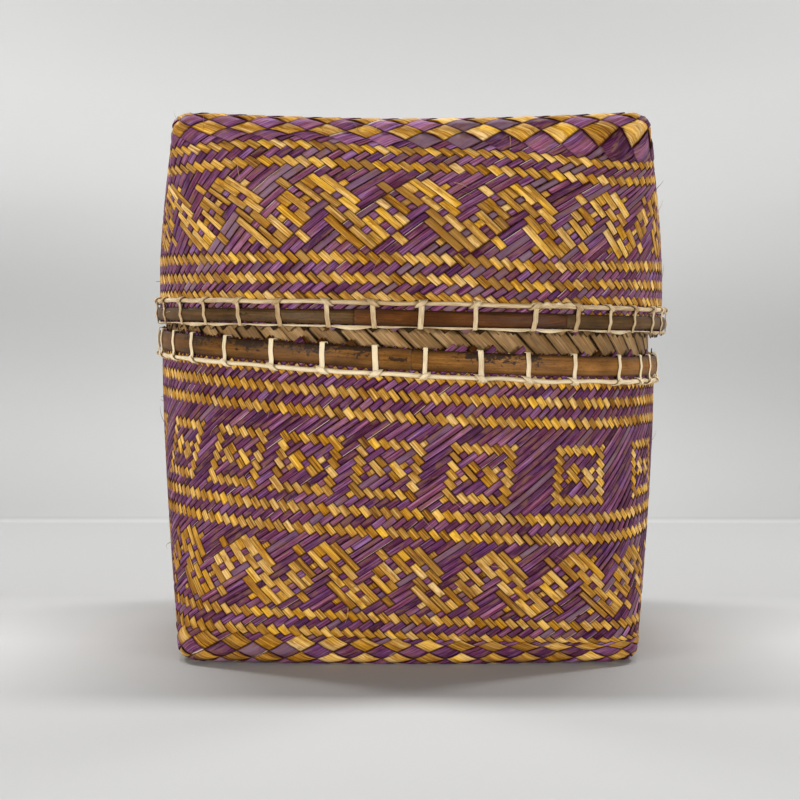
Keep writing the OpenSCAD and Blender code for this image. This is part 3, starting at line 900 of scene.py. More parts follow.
def cane_finish(name, pale, dark):
    """Peeled binding cane: cream, with fine fibres and a few brown lengths"""
    f = Finish(name)
    fibre = f.noise(0.16, 4.5, 3.0, 0.6)
    patch = f.noise(0.10, 0.25, 3.0, 0.6)
    value = f.varied(f.tone()[0], (fibre, 0.9), (patch, 0.7))
    bright = tuple(min(1.0, 1.14 * c) for c in pale)
    tint = f.ramp(value, ((0.0, dark), (0.55, pale), (1.0, bright)))
    f.bump(fibre, 0.45, 0.0002)
    return f.done(tint, f.spread(fibre, 0.3, 0.7, 0.42, 0.62), 0.25)


FINISHES = {
    "purple_strips": (strip_finish, "purple_dark", "purple", "purple_light", "lilac_grey", "purple_worn",
                      "pale_split", "purple_seam_shade"),
    "gold_strips": (strip_finish, "gold_dark", "gold", "gold_light", "gold_dull", "gold_worn",
                    "pale_split", "gold_seam_shade"),
    "natural_strips": (strip_finish, "natural_dark", "natural", "natural_light", "natural_dark",
                       "natural_worn", "pale_split", "natural_seam_shade"),
    "binding_cane": (cane_finish, "cane", "cane_dark"),
    "brown_bark": (bark_finish, "brown_hoop", "brown_hoop_light", "mottle_and_shade"),
    "grey_bark": (bark_finish, "grey_hoop", "grey_hoop_light", "mottle_and_shade"),
    "red_bark": (bark_finish, "red_hoop", "red_hoop_light", "mottle_and_shade"),
}


def finish_named(scene, name):
    made = bpy.data.materials.get(name)
    if made is None:
        make, *colours = FINISHES[name]
        made = make(name, *(tuple(getattr(scene.bamboo_colours, colour)) for colour in colours))
    return made


# Rim pieces

FIT = 0.1
CANE_DEPTH = {"base": 0.53, "lid": 0.23}
CANE_SEAT = 0.34
# Degrees from a stitch at which a cane is free, and how far it then bows along the rim and out
CANE_HELD, CANE_BOW, CANE_OUT = 5.3, 0.32, 0.12
EDGE_HELD = 5.0
# Room between the rims that the edge strip needs, and how much of the rest it uses
EDGE_NEEDED, EDGE_SHARE = 2.4, 0.45


def plain_tones(depth):
    """Tones of a rim piece without stains, with one depth of colour for each section"""
    return np.stack([depth, 0 * depth, depth, depth], 1)


def ring_piece(name, sections, tones, run, material, body, replaced, closed, smooth=True):
    """Skins a row of equal closed sections, in world millimetres, into a tube with grain along it"""
    sections = np.asarray(sections)
    n, m = sections.shape[:2]
    lengths = np.linalg.norm(np.diff(np.concatenate([sections, sections[:, :1]], 1), axis=1), axis=2)
    girth = np.concatenate([np.zeros((n, 1)), np.cumsum(lengths, axis=1)], 1)
    faces, uv = [], []
    for i in range(n if closed else n - 1):
        k = (i + 1) % n
        far = run[k] if k else run[-1] + np.linalg.norm(sections[-1, 0] - sections[0, 0])
        for p in range(m):
            q = (p + 1) % m
            faces.append((i * m + p, k * m + p, k * m + q, i * m + q))
            low, high = girth[i, p], girth[i, p + 1]
            uv += [(run[i], low), (far, low), (far, high), (run[i], high)]
    flags = [smooth] * len(faces)
    if not closed:
        for i, corners in ((0, range(m)), (n - 1, range(m - 1, -1, -1))):
            faces.append(tuple(i * m + p for p in corners))
            uv += [(run[i], girth[i, p]) for p in corners]
        flags += [False, False]
    piece = new_piece(name, sections.reshape(-1, 3) * MM, faces, material, body, replaced)
    set_smooth(piece.data, flags)
    set_tone(piece.data, tones.reshape(-1, 4) if tones.ndim == 3 else np.repeat(tones, m, axis=0))
    set_uv(piece.data, "grain", uv)
    return piece


def cane_piece(scene, name, box, sections, depth, run, replaced, closed, smooth=True):
    return ring_piece(name, sections, plain_tones(depth), run, finish_named(scene, "binding_cane"), box,
                      replaced, closed, smooth)


def hoop_heights(rims, box):
    top = -rims.edge_show / MM
    return top - getattr(rims, f"{box}_hoop_height") / MM, top


def cane_height(rims, box):
    return hoop_heights(rims, box)[0] - getattr(rims, f"{box}_cane_drop") / MM


def rim_radius(scene, box):
    return getattr(scene.bamboo_form, f"{box}_rim_radius") / MM


def slow_wave(turns, random, terms=5, lowest=2):
    """A smooth random curve round the rim, about -1 to 1"""
    total = np.zeros_like(turns)
    for k in range(terms):
        total += random.normal() * np.sin(np.radians(turns) * (lowest + k * 2) + random.uniform(0, 6.28))
    return total / math.sqrt(terms)


# Places across a hoop's outer face, from its lower to its upper edge
HOOP_ROWS = np.array([0.0, 0.05, 0.16, 0.32, 0.5, 0.68, 0.84, 0.95, 1.0])
HOOP_CORNERS = len(HOOP_ROWS) + 2
# How far its edges waver and keep inside its height, the share of its thickness that is left there,
# and how thick it is in a slit
HOOP_WAVER, HOOP_TRIM, HOOP_EDGE, SLIT_FLOOR = 0.16, 0.12, 0.22, 0.25
# Its outer face keeps this far inside the lashing
HOOP_CLEAR = 0.06
KNOTS, KNOT_SIZE, KNOT_SWELL = 5, 1.1, 0.066


def hoop_piece(scene, name, box, turns, inner, outer, taper, depth, stain_and_slit_shade, finish, replaced, random,
               slit=None):
    """A split-bamboo strip along the rim, flat inside and rounded outside. A slit is given by the turns
    and the rows between which it lies."""
    low, high = hoop_heights(scene.bamboo_rims, box)
    bottoms = low + slow_wave(turns, random) * HOOP_WAVER + taper
    tops = high + slow_wave(turns, random) * HOOP_WAVER - HOOP_TRIM - taper
    knots = random.uniform(-180, 180, KNOTS)
    arch = np.sqrt(np.clip(1 - (2 * HOOP_ROWS - 1) ** 2, 0, 1))
    sections = []
    for i, turn in enumerate(turns):
        swell = KNOT_SWELL * sum(math.exp(-((turn - knot) / KNOT_SIZE) ** 2) for knot in knots)
        thick = (outer[i] - inner[i]) * (HOOP_EDGE + (1 - HOOP_EDGE) * arch)
        radius = inner[i] + thick - HOOP_CLEAR + swell * arch
        rows = bottoms[i] + (tops[i] - bottoms[i]) * HOOP_ROWS
        if slit and slit[0] < turn < slit[1]:
            cut = (HOOP_ROWS > slit[2]) & (HOOP_ROWS < slit[3])
            radius = np.where(cut, inner[i] + SLIT_FLOOR, radius)
        outer_pts = rim_point(scene, box, turn, radius, rows)
        inner_pts = rim_point(scene, box, turn, inner[i], np.array([tops[i], bottoms[i]]))
        sections.append(np.concatenate([outer_pts, inner_pts]))
    tones = np.repeat(plain_tones(depth)[:, None], HOOP_CORNERS, axis=1)
    tones[:, :, 1] = stain_and_slit_shade
    # Painted shade: darker towards the hoop's upper and lower edges, and on its inner face
    tones[:, :, 2] = 1.0
    tones[:, :len(HOOP_ROWS), 2] = np.clip((np.abs(2 * HOOP_ROWS - 1) - 0.3) / 0.7, 0, 1) ** 1.6
    if box == "lid":
        sections, tones = np.array(sections)[:, ::-1], tones[:, ::-1]
    return ring_piece(name, sections, tones, np.radians(turns) * np.mean(outer), finish_named(scene, finish),
                      box, replaced, False)


def smooth_path(points, facing, per_span):
    """Catmull-Rom curve through points, with the facing turned along"""
    points = np.asarray(points, float)
    facing = np.asarray(facing, float)
    p = np.concatenate([2 * points[:1] - points[1:2], points, 2 * points[-1:] - points[-2:-1]])
    t = (np.arange(per_span) / per_span)[None, :, None]
    a, b, c, d = (p[k:len(p) - 3 + k, None] for k in range(4))
    curve = 0.5 * (2 * b + (c - a) * t + (2 * a - 5 * b + 4 * c - d) * t ** 2
                   + (3 * b - a - 3 * c + d) * t ** 3)
    turned = facing[:-1, None] * (1 - t) + facing[1:, None] * t
    curve = np.concatenate([curve.reshape(-1, 3), points[-1:]])
    turned = np.concatenate([turned.reshape(-1, 3), facing[-1:]])
    return curve, unit(turned)


def unit(vectors):
    return vectors / np.linalg.norm(vectors, axis=1, keepdims=True)


def flat_sections(curve, facing, width, thickness):
    """Six-cornered sections of a flat strip with a softly rounded face"""
    ahead = np.gradient(curve, axis=0)
    side = unit(np.cross(ahead, facing))
    w = side * np.reshape(width, (-1, 1)) / 2
    t = unit(np.cross(side, ahead)) * thickness / 2
    corners = ((1, 0.2), (0.62, 1), (-0.62, 1), (-1, 0.2), (-0.85, -1), (0.85, -1))
    return np.stack([curve + across * w + up * t for across, up in corners], 1)


def round_sections(curve, radius, sides):
    ahead = unit(np.gradient(curve, axis=0))
    out = unit(np.cross(ahead, [0.0, 0.0, 1.0]))
    upright = np.cross(out, ahead)
    around = (np.arange(sides) * 2 * math.pi / sides)[None, :, None]
    return curve[:, None] + np.reshape(radius, (-1, 1, 1)) * (np.cos(around) * out[:, None]
                                                              + np.sin(around) * upright[:, None])


def path_length(curve):
    return np.concatenate([[0], np.cumsum(np.linalg.norm(np.diff(curve, axis=0), axis=1))])


# Stitches seen across the front, in degrees from its middle; the rest are spaced evenly
FRONT_STITCHES = {
    "base": (-63.8, -54.4, -42.3, -29.6, -17.8, -6.8, 3.6, 15.0, 25.6, 37.6, 52.3, 62.5, 69.1),
    "lid": (-58.1, -48.3, -37.7, -27.5, -16.8, -7.4, 1.8, 12.8, 25.4, 35.8, 45.6, 54.4, 64.1, 71.5),
}
STITCH_POINTS = 20
STITCH_STEPS = 3
# How far stitches lean more, in millimetres per degree from the front
STITCH_FAN = {"base": -0.008, "lid": 0.028}
# How far each rim's edge reaches past the rim plane; the lid's has the edge strip on it
EDGE_REACH = {"base": 0.0, "lid": 0.4}


def stitch_turns(scene, box):
    front = FRONT_STITCHES[box]
    rest = getattr(scene.bamboo_rims, f"{box}_stitches") - len(front)
    room = 360 - (front[-1] - front[0])
    return list(front) + [front[-1] + room * (k + 1) / (rest + 1) for k in range(rest)]


def from_stitch(scene, box, turns):
    """Degrees from each turn to its nearest stitch"""
    stitches = np.array(stitch_turns(scene, box))
    return np.abs((turns[:, None] - stitches[None] + 180) % 360 - 180).min(1)


def stitch_path(scene, box, turn, before, random):
    """One stitch: up behind the weave, over the rim, down the hoop, round the cane, and a second
    turn that crosses over the first and locks it. Each point is a radius, a shift round the rim, a
    height from the rim plane and the way the strip's face looks, in degrees up from outwards."""
    rims = scene.bamboo_rims
    r = rim_radius(scene, box)
    low_hoop, high_hoop = hoop_heights(rims, box)
    lash = rims.lash_thickness / MM
    cane_d = rims.cane_diameter / MM
    inside = r - 1.6
    face = r + FIT + rims.hoop_thickness / MM + FIT + lash / 2
    over = EDGE_REACH[box] + FIT + lash / 2
    cane_r = r + CANE_SEAT * cane_d
    cane_z = cane_height(rims, box)
    wrap = cane_d / 2 + FIT + lash / 2
    under = cane_z - wrap
    lean = random.uniform(-0.4, 0.4) + STITCH_FAN[box] * max(-65, min(65, turn))
    hand = 1 if random.random() < 0.7 else -1
    loose = random.uniform(0.0, 0.2)
    return [
        (inside, -0.42 * before, under, 180), (inside, -0.12 * before, 2 * high_hoop - 2.2, 180),
        (inside, 0, high_hoop, 180), (inside + lash, 0, over, 120), (r + 0.9, 0, over, 90),
        (r + 1.25, 0, over - 0.25, 55), (face - 0.42, 0.2 * lean, high_hoop - 0.9, 14),
        (face, 0.5 * lean, (low_hoop + high_hoop) / 2, 0), (face - 0.42, 0.8 * lean, low_hoop + 0.6, 0),
        (cane_r + wrap, lean, cane_z, 0),
        (cane_r + wrap * 0.64, lean, cane_z - wrap * 0.77, -50), (cane_r, lean, under, -90),
        (inside + lash, lean, under, -130), (inside, -hand * 1.0 + lean, cane_z + 0.2, 180),
        (r + 0.2, -hand * 1.5 + lean, cane_z + wrap + 0.2, 95),
        (cane_r + wrap * 0.8 + 0.2, -hand * 1.1 + lean, cane_z + wrap * 0.75, 45),
        (cane_r + wrap + 0.3 + 0.5 * loose, 0.1 * hand + lean, cane_z, 0),
        (cane_r + wrap * 0.7 + 0.3, hand * 1.0 + lean, cane_z - wrap * 0.7, -50),
        (cane_r + 0.1, hand * 1.4 + lean, under - 0.1, -90), (inside + lash, hand * 1.5 + lean, under, -130),
    ]


def lashing_strand(scene, name, box, turns, replaced, random):
    rims = scene.bamboo_rims
    r = rim_radius(scene, box)
    points, facing = [], []
    way = 1 if box == "base" else -1
    pitch = np.diff(turns).mean() * math.radians(1) * r
    for turn in turns:
        for radius, shift, rise, look in stitch_path(scene, box, turn, pitch, random):
            place = turn + math.degrees(shift / r)
            points.append(rim_point(scene, box, place, radius, rise))
            look, round_it = math.radians(look), math.radians(place)
            facing.append((math.cos(look) * math.sin(round_it), -math.cos(look) * math.cos(round_it),
                           way * math.sin(look)))
    curve, facing = smooth_path(points, facing, STITCH_STEPS)
    stitch = np.arange(len(curve)) // (STITCH_STEPS * STITCH_POINTS)
    width = rims.lash_width / MM * random.uniform(0.82, 1.12, stitch.max() + 1)[stitch]
    sections = flat_sections(curve, facing, width, rims.lash_thickness / MM)
    depth = np.clip(random.normal(CANE_DEPTH[box], 0.09, stitch.max() + 1), 0.05, 0.9)[stitch]
    return cane_piece(scene, name, box, sections, depth, path_length(curve), replaced, False)


def running_cane(scene, box, random):
    rims = scene.bamboo_rims
    diameter = rims.cane_diameter / MM
    turns = np.arange(0, 360, 0.9)
    slack = np.sin(np.clip(from_stitch(scene, box, turns) / CANE_HELD, 0, 1) * math.pi / 2) ** 2
    rise = cane_height(rims, box) + slow_wave(turns, random, 7, 5) * CANE_BOW * slack
    middle = rim_radius(scene, box) + CANE_SEAT * rims.cane_diameter / MM
    curve = rim_point(scene, box, turns, middle + CANE_OUT * slack, rise)
    radius = diameter / 2 * (0.94 + 0.08 * slow_wave(turns, random, 6, 4))
    depth = CANE_DEPTH[box] + 0.10 * slow_wave(turns, random, 5, 3)
    return cane_piece(scene, f"{box}_running_cane_wound", box, round_sections(curve, radius, 10), depth,
                      path_length(curve), (f"{box}_running_cane",), True)


def cane_joint(scene):
    """The short second length that joins the ends of the lid's running cane"""
    turns = np.arange(24.2, 37.4, 0.3)
    share = np.linspace(0, 1, len(turns))
    ends = np.clip(np.minimum(share, 1 - share) / 0.12, 0, 1)
    rise = cane_height(scene.bamboo_rims, "lid") - 0.25 - 0.55 * ends
    rise = rise + 0.22 * np.sin(share * 31) + 0.12 * np.sin(share * 53)
    curve = rim_point(scene, "lid", turns, rim_radius(scene, "lid") + 0.7 + 0.5 * ends, rise)
    radius = 0.62 * (0.25 + 0.75 * ends) * (1 + 0.14 * np.sin(share * 44))
    depth = 0.26 + 0.12 * np.sin(share * 26)
    return cane_piece(scene, "lid_cane_joint", "lid", round_sections(curve, radius, 8), depth,
                      path_length(curve), (), False)


def edge_cane(scene, random):
    """Flat strip under the lid hoop, bowed out between the stitches"""
    r = rim_radius(scene, "lid")
    turns = np.arange(0, 360, 0.75)
    bow = np.sin(np.clip(from_stitch(scene, "lid", turns) / EDGE_HELD, 0, 1) * math.pi / 2)
    swell = np.clip(0.55 + 0.6 * slow_wave(turns, random, 7, 7), 0, 1.2) * bow
    gap = rim_gap(scene, r * np.sin(np.radians(turns)), -r * np.cos(np.radians(turns)))
    height = EDGE_REACH["lid"] + swell * np.clip((gap - EDGE_NEEDED) * EDGE_SHARE, 0.0, 1.0)
    radius = np.array([r - 0.9, r + 1.0, r + 1.25, r + 1.0, r - 0.9])
    rise = np.array([0.0, 0.0, 0.5, 1.0, 1.0])
    sections = [rim_point(scene, "lid", turn, radius, tall * rise)[::-1] for turn, tall in zip(turns, height)]
    depth = 0.34 + 0.14 * slow_wave(turns, random)
    return cane_piece(scene, "lid_edge_cane", "lid", sections, depth, np.radians(turns) * r,
                      ("lid_edge_strip",), True, smooth=False)


# Fibres that have come loose: turn from the front, level, length, direction up from the rim line, lift
FIBRES = {
    "base": ((21, 62, 7, 25, 1.6), (9, 33, 9, -35, 1.4), (-31, 48, 6, 50, 1.5), (46, 40, 7, -120, 2.0),
             (62, 30, 8, 70, 3.0), (-58, 55, 7, 110, 2.6), (-12, 12, 6, 40, 1.4), (33, 20, 7, 140, 1.6)),
    "lid": ((-43, -4, 8, -60, 3.4), (-40, -4, 6, -120, 2.6), (-10, -4, 6, -70, 2.2), (-7, -4, 4, -110, 2.0),
            (-26, 36, 7, 85, 1.0), (33, 36, 7, 120, 1.4), (64, 8, 8, -40, 3.2), (66, 14, 6, -80, 2.4),
            (59, 22, 6, -30, 2.6), (-67, 34, 6, 60, 3.0), (-64, 37, 5, 30, 2.6), (5, 12, 7, 30, 1.3)),
}
CHANCE_FIBRES = 26
FIBRE_POINTS = 8
FIBRE_SIDES = 3
FIBRE_THICK, FIBRE_BEND = 0.15, 0.35
# Each fibre's and each side's own band of the grain
FIBRE_BAND, SIDE_BAND = 9.1, 0.3


def loose_fibres(scene, box, random):
    """Thin curved hairs that stand off the weave, a few in given places and the rest by chance"""
    form = outer_form(scene, box)
    fibres = list(FIBRES[box])
    for k in range(CHANCE_FIBRES):
        fibres.append((random.uniform(-180, 180), random.uniform(-4, form.levels - 3), random.uniform(3, 8),
                       random.uniform(-180, 180), random.uniform(0.6, 2.2)))
    share = np.linspace(0, 1, FIBRE_POINTS)
    points, faces, tones, uv = [], [], [], []
    for n, (turn, level, reach, way, lift) in enumerate(fibres):
        s = (turn if box == "base" else 180 - turn) / 360 * form.strips
        start, out = form.at(s, level), form.normal(s, level)
        up = form.at(s, level + 0.5) - start
        up = up / np.linalg.norm(up)
        round_it = np.cross(up, out)
        ahead = math.cos(math.radians(way)) * round_it + math.sin(math.radians(way)) * up
        side = np.cross(out, ahead)
        bend = random.uniform(-FIBRE_BEND, FIBRE_BEND) * side
        curve = (start + np.outer(share, ahead) * reach + np.outer(share ** 2, bend) * reach
                 + np.outer(0.2 + lift * np.sin(share * random.uniform(1.4, 2.4)), out))
        thick = (FIBRE_THICK * (1 - 0.8 * share) * random.uniform(0.7, 1.2))[:, None]
        first = len(points) * FIBRE_POINTS
        for k in range(FIBRE_SIDES):
            a = 2 * math.pi * k / FIBRE_SIDES
            points.append(curve + thick * (math.cos(a) * side + math.sin(a) * out))
        for i in range(FIBRE_POINTS - 1):
            for k in range(FIBRE_SIDES):
                near = first + k * FIBRE_POINTS + i
                far = first + (k + 1) % FIBRE_SIDES * FIBRE_POINTS + i
                faces.append((near, near + 1, far + 1, far))
                here, there = share[i] * reach, share[i + 1] * reach
                low = n * FIBRE_BAND + k * SIDE_BAND
                high = low + SIDE_BAND
                uv += [(here, low), (there, low), (there, high), (here, high)]
        tones += [(random.uniform(0.2, 0.95), 0.0, 0.0, 0.0)] * (FIBRE_SIDES * FIBRE_POINTS)
    points = to_world(scene, box, np.concatenate(points))
    piece = new_piece(f"{box}_loose_fibres", points, faces, finish_named(scene, "natural_strips"), box, ())
    set_tone(piece.data, tones)
    set_across(piece.data, np.zeros(len(tones)))
    set_uv(piece.data, "grain", uv)
    return piece


# Operators

def draws(scene, step):
    return np.random.default_rng(scene.bamboo_weave.seed + step)


def plait_box(scene, box, gold_first, tone_of, random):
    form = outer_form(scene, box)
    plait = Plait(scene, box, form, gold_first, tone_of, random)
    for colour, left_rising, replaced in (("gold", True, ()), ("purple", False, (f"{box}_outer_weave",))):
        lay_strips(scene, f"{box}_{colour}_strips", box, form, plait.all(left_rising), left_rising,
                   finish_named(scene, f"{colour}_strips"), replaced)


class BAMBOO_OT_base_weave(bpy.types.Operator):
    """Plait the purple and gold strips of the base"""
    bl_idname = "bamboo.base_weave"
    bl_label = "Base weave"

    def execute(self, context):
        plait_box(context.scene, "base", True, deep_tone, draws(context.scene, 0))
        return {"FINISHED"}


class BAMBOO_OT_lid_weave(bpy.types.Operator):
    """Plait the purple and gold strips of the lid"""
    bl_idname = "bamboo.lid_weave"
    bl_label = "Lid weave"

    def execute(self, context):
        plait_box(context.scene, "lid", False, dyed_tone, draws(context.scene, 1))
        return {"FINISHED"}


LINING_WALL_INSET = 2.65
LINING_FLOOR_INSET = 1.45
LINING_LEAN = 0.06
LINING_EDGE_LEVELS = 2
COLLAR_ROW = (22, 26)


class BAMBOO_OT_linings(bpy.types.Operator):
    """Plait the natural strips of both linings"""
    bl_idname = "bamboo.linings"
    bl_label = "Linings"

    def execute(self, context):
        scene = context.scene
        w = scene.bamboo_weave
        random = draws(scene, 2)
        collar = scene.bamboo_form.collar_height / MM
        for box, top, row in (("base", collar, COLLAR_ROW), ("lid", None, None)):
            levels = getattr(w, f"{box}_lining_levels")
            marks = ((0, 0.0), (levels, 1.0), (2 * levels, 2.0))
            form = WovenForm(scene, box, getattr(w, f"{box}_lining_strips"), marks, LINING_LEAN,
                             LINING_EDGE_LEVELS, LINING_WALL_INSET, LINING_FLOOR_INSET, level_top=top)
            for side, left_rising, replaced in (("left", True, (f"{box}_lining",)), ("right", False, ())):
                lay_strips(scene, f"{box}_lining_{side}_strips", box, form,
                           lining_strips(form, w, random, left_rising, row), left_rising,
                           finish_named(scene, "natural_strips"), replaced)
        return {"FINISHED"}


# Turns in degrees from the front; the base hoop's outer end lies over its inner one
HOOP_LAP, HOOP_END, HOOP_STEP = 9.0, 361.5, 0.75
HOOP_SLIT = (355.6, 360.6, 0.36, 0.66)
HOOP_STAINS = ((-52, 6), (-36, 7), (-19, 8), (-9, 3), (14, 4), (20, 3), (27, 3), (110, 9), (200, 6))
# Share of a hoop's thickness left at its thinned ends, and how far out the strip over them lies
THINNED = {"base": 0.48, "lid": 0.45}
OVER_THINNED = 0.9
# How far the lid hoop's thinned ends reach under the splice, and the length of the splice's point
TONGUE, SPLICE_POINT = 8, 14


class BAMBOO_OT_hoops(bpy.types.Operator):
    """Bend the split-bamboo hoops round both rims"""
    bl_idname = "bamboo.hoops"
    bl_label = "Rim hoops"

    def execute(self, context):
        scene = context.scene
        rims = scene.bamboo_rims
        random = draws(scene, 3)
        thick = rims.hoop_thickness / MM

        # Base: one strip whose outer end lies over its inner end at the front
        r_in = rim_radius(scene, "base") + FIT
        turns = np.arange(-HOOP_LAP, HOOP_END, HOOP_STEP)
        before_end = np.clip((HOOP_END - turns) / HOOP_LAP, 0, 1)
        inner = r_in + OVER_THINNED * np.clip((1 - before_end) * 3, 0, 1)
        outer = r_in + thick * np.where(turns < 0, THINNED["base"], 1.0)
        front = (turns + 180) % 360 - 180
        depth = 0.44 + 0.24 * np.clip((front + 5) / 30, -1, 1) * np.exp(-(front / 100) ** 2)
        spots = np.clip(sum(np.exp(-((front - at) / size) ** 2) for at, size in HOOP_STAINS), 0, 1)
        stain_and_slit_shade = np.zeros((len(turns), HOOP_CORNERS))
        stain_and_slit_shade[:, :len(HOOP_ROWS)] = spots[:, None] * np.clip(HOOP_ROWS * 1.5 - 0.3, 0, 1)
        # Painted shade in the slit, carried in the stains' channel
        stain_and_slit_shade[(turns > HOOP_SLIT[0]) & (turns < HOOP_SLIT[1]), len(HOOP_ROWS) // 2] = 1.0
        hoop_piece(scene, "base_hoop_strip", "base", turns, inner, outer, 0 * turns, depth, stain_and_slit_shade,
                   "brown_bark", ("base_hoop",), random, HOOP_SLIT)

        # Lid: a long grey strip, and a red splice that lies over both its thinned ends
        r_in = rim_radius(scene, "lid") + FIT
        first, last = math.degrees(rims.splice_start), math.degrees(rims.splice_end)
        turns = np.arange(last - TONGUE, first + 360.01 + TONGUE, HOOP_STEP)
        tongue = (turns < last) | (turns > first + 360)
        outer = r_in + thick * np.where(tongue, THINNED["lid"], 1.0)
        depth = 0.42 + 0.06 * slow_wave(turns, random)
        stain_and_slit_shade = np.clip(0.12 + 0.2 * slow_wave(turns, random), 0, 0.4)
        hoop_piece(scene, "lid_hoop_strip", "lid", turns, r_in + 0 * turns, outer, 0 * turns, depth,
                   stain_and_slit_shade[:, None], "grey_bark", ("lid_hoop",), random)
        turns = np.arange(first, last + 0.01, 0.5)
        over_tongue = (turns < first + TONGUE) | (turns > last - TONGUE)
        inner = r_in + np.where(over_tongue, OVER_THINNED, 0.0)
        point = np.clip((turns - last + SPLICE_POINT) / SPLICE_POINT, 0, 1)
        taper = -0.22 * np.clip((turns - first) / 0.3, 0, 1) + 0.9 * point ** 2
        depth = 0.42 + 0.10 * slow_wave(turns, random, 4, 6)
        hoop_piece(scene, "lid_splice_strip", "lid", turns, inner, r_in + thick + 0 * turns, taper, depth,
                   0.12, "red_bark", ("lid_hoop_splice",), random)
        return {"FINISHED"}


class BAMBOO_OT_canes(bpy.types.Operator):
    """Lay the running canes and the strip along the lid's cut edge"""
    bl_idname = "bamboo.canes"
    bl_label = "Running canes"

    def execute(self, context):
        scene = context.scene
        random = draws(scene, 4)
        running_cane(scene, "base", random)
        running_cane(scene, "lid", random)
        cane_joint(scene)
        edge_cane(scene, random)
        return {"FINISHED"}


class BAMBOO_OT_lashings(bpy.types.Operator):
    """Bind hoops and canes on with two strands of cane per rim"""
    bl_idname = "bamboo.lashings"
    bl_label = "Lashings"

    def execute(self, context):
        scene = context.scene
        random = draws(scene, 5)
        for box in ("base", "lid"):
            turns = sorted((turn + 180) % 360 - 180 for turn in stitch_turns(scene, box))
            front = [turn for turn in turns if -90 <= turn < 90]
            back = sorted(turn % 360 for turn in turns if not -90 <= turn < 90)
            lashing_strand(scene, f"{box}_front_strand", box, front, (f"{box}_lashing_front",), random)
            lashing_strand(scene, f"{box}_back_strand", box, back, (f"{box}_lashing_back",), random)
        return {"FINISHED"}


class BAMBOO_OT_fibres(bpy.types.Operator):
    """Let a few fibres stand off both boxes"""
    bl_idname = "bamboo.fibres"
    bl_label = "Loose fibres"

    def execute(self, context):
        random = draws(context.scene, 6)
        for box in ("base", "lid"):
            loose_fibres(context.scene, box, random)
        return {"FINISHED"}


# Soft bands of light and shade up the backdrop, by height, and how far they tilt
BACKDROP_SHADES = ((0.0, 0.96), (0.045, 1.05), (0.105, 0.77), (0.15, 0.85), (0.205, 1.10), (0.30, 0.78))
BACKDROP_SPAN = 0.4
BACKDROP_TILT = 0.05
# Painted shade: the floor is this much darker behind the box
FLOOR_BEHIND = 0.69
# The paper's front edge, half width, top and the radius of its bend
SWEEP_FRONT, SWEEP_HALF, SWEEP_TOP, SWEEP_BEND = -1.05, 1.6, 3.0, 0.003
BEND_STEPS = 8
# How pale the room looks to the camera
ROOM_SEEN = 0.62
# Each lamp's place, turn, size and power
LAMPS = {
    "overhead_lamp": ((0.0, 0.22, 1.15), (-0.12, 0.0, 0.0), (0.60, 0.15), "lamp_power"),
    "left_lamp": ((-1.30, -1.15, 0.14), (1.56, 0.0, -0.85), (0.8, 0.3), "left_power"),
    "right_lamp": ((1.30, -1.15, 0.14), (1.56, 0.0, 0.85), (0.8, 0.3), "right_power"),
    "left_fill": ((-0.45, 0.28, 0.60), (0.62, 0.0, -2.27), (0.10, 0.20), "fill_power"),
    "right_fill": ((0.45, 0.28, 0.60), (0.62, 0.0, 2.27), (0.10, 0.20), "fill_power"),
}


def paper_finish(st):
    """Pale paper: floor in front with painted shade behind the box, painted soft bands of light and shade up
    the backdrop, and clear from behind or below
    """
    paper = Finish("pale_paper")
    surface = paper.node("ShaderNodeNewGeometry").outputs
    x, y, z = paper.fed(paper.node("ShaderNodeSeparateXYZ"), {"Vector": surface["Position"]}).outputs
    height = paper.math("ADD", z, paper.times(x, BACKDROP_TILT))
    wall = [(place / BACKDROP_SPAN, tuple(shade * c for c in st.wall_colour))
            for place, shade in BACKDROP_SHADES]
    wall = paper.ramp(paper.math("DIVIDE", height, BACKDROP_SPAN), wall)
    floor = paper.mix(paper.spread(y, -0.035, 0.08), tuple(st.floor_colour),
                      tuple(FLOOR_BEHIND * c for c in st.floor_colour))
    paper.done(paper.mix(paper.spread(z, 0.0, 0.004), floor, wall), 0.85, 0.2)
    clear = paper.fed(paper.node("ShaderNodeMixShader"), {
        0: surface["Backfacing"], 1: paper.surface.outputs["BSDF"],
        2: paper.node("ShaderNodeBsdfTransparent").outputs["BSDF"]})
    paper.put(clear.outputs["Shader"], paper.tree.nodes["Material Output"].inputs["Surface"])
    return paper.material


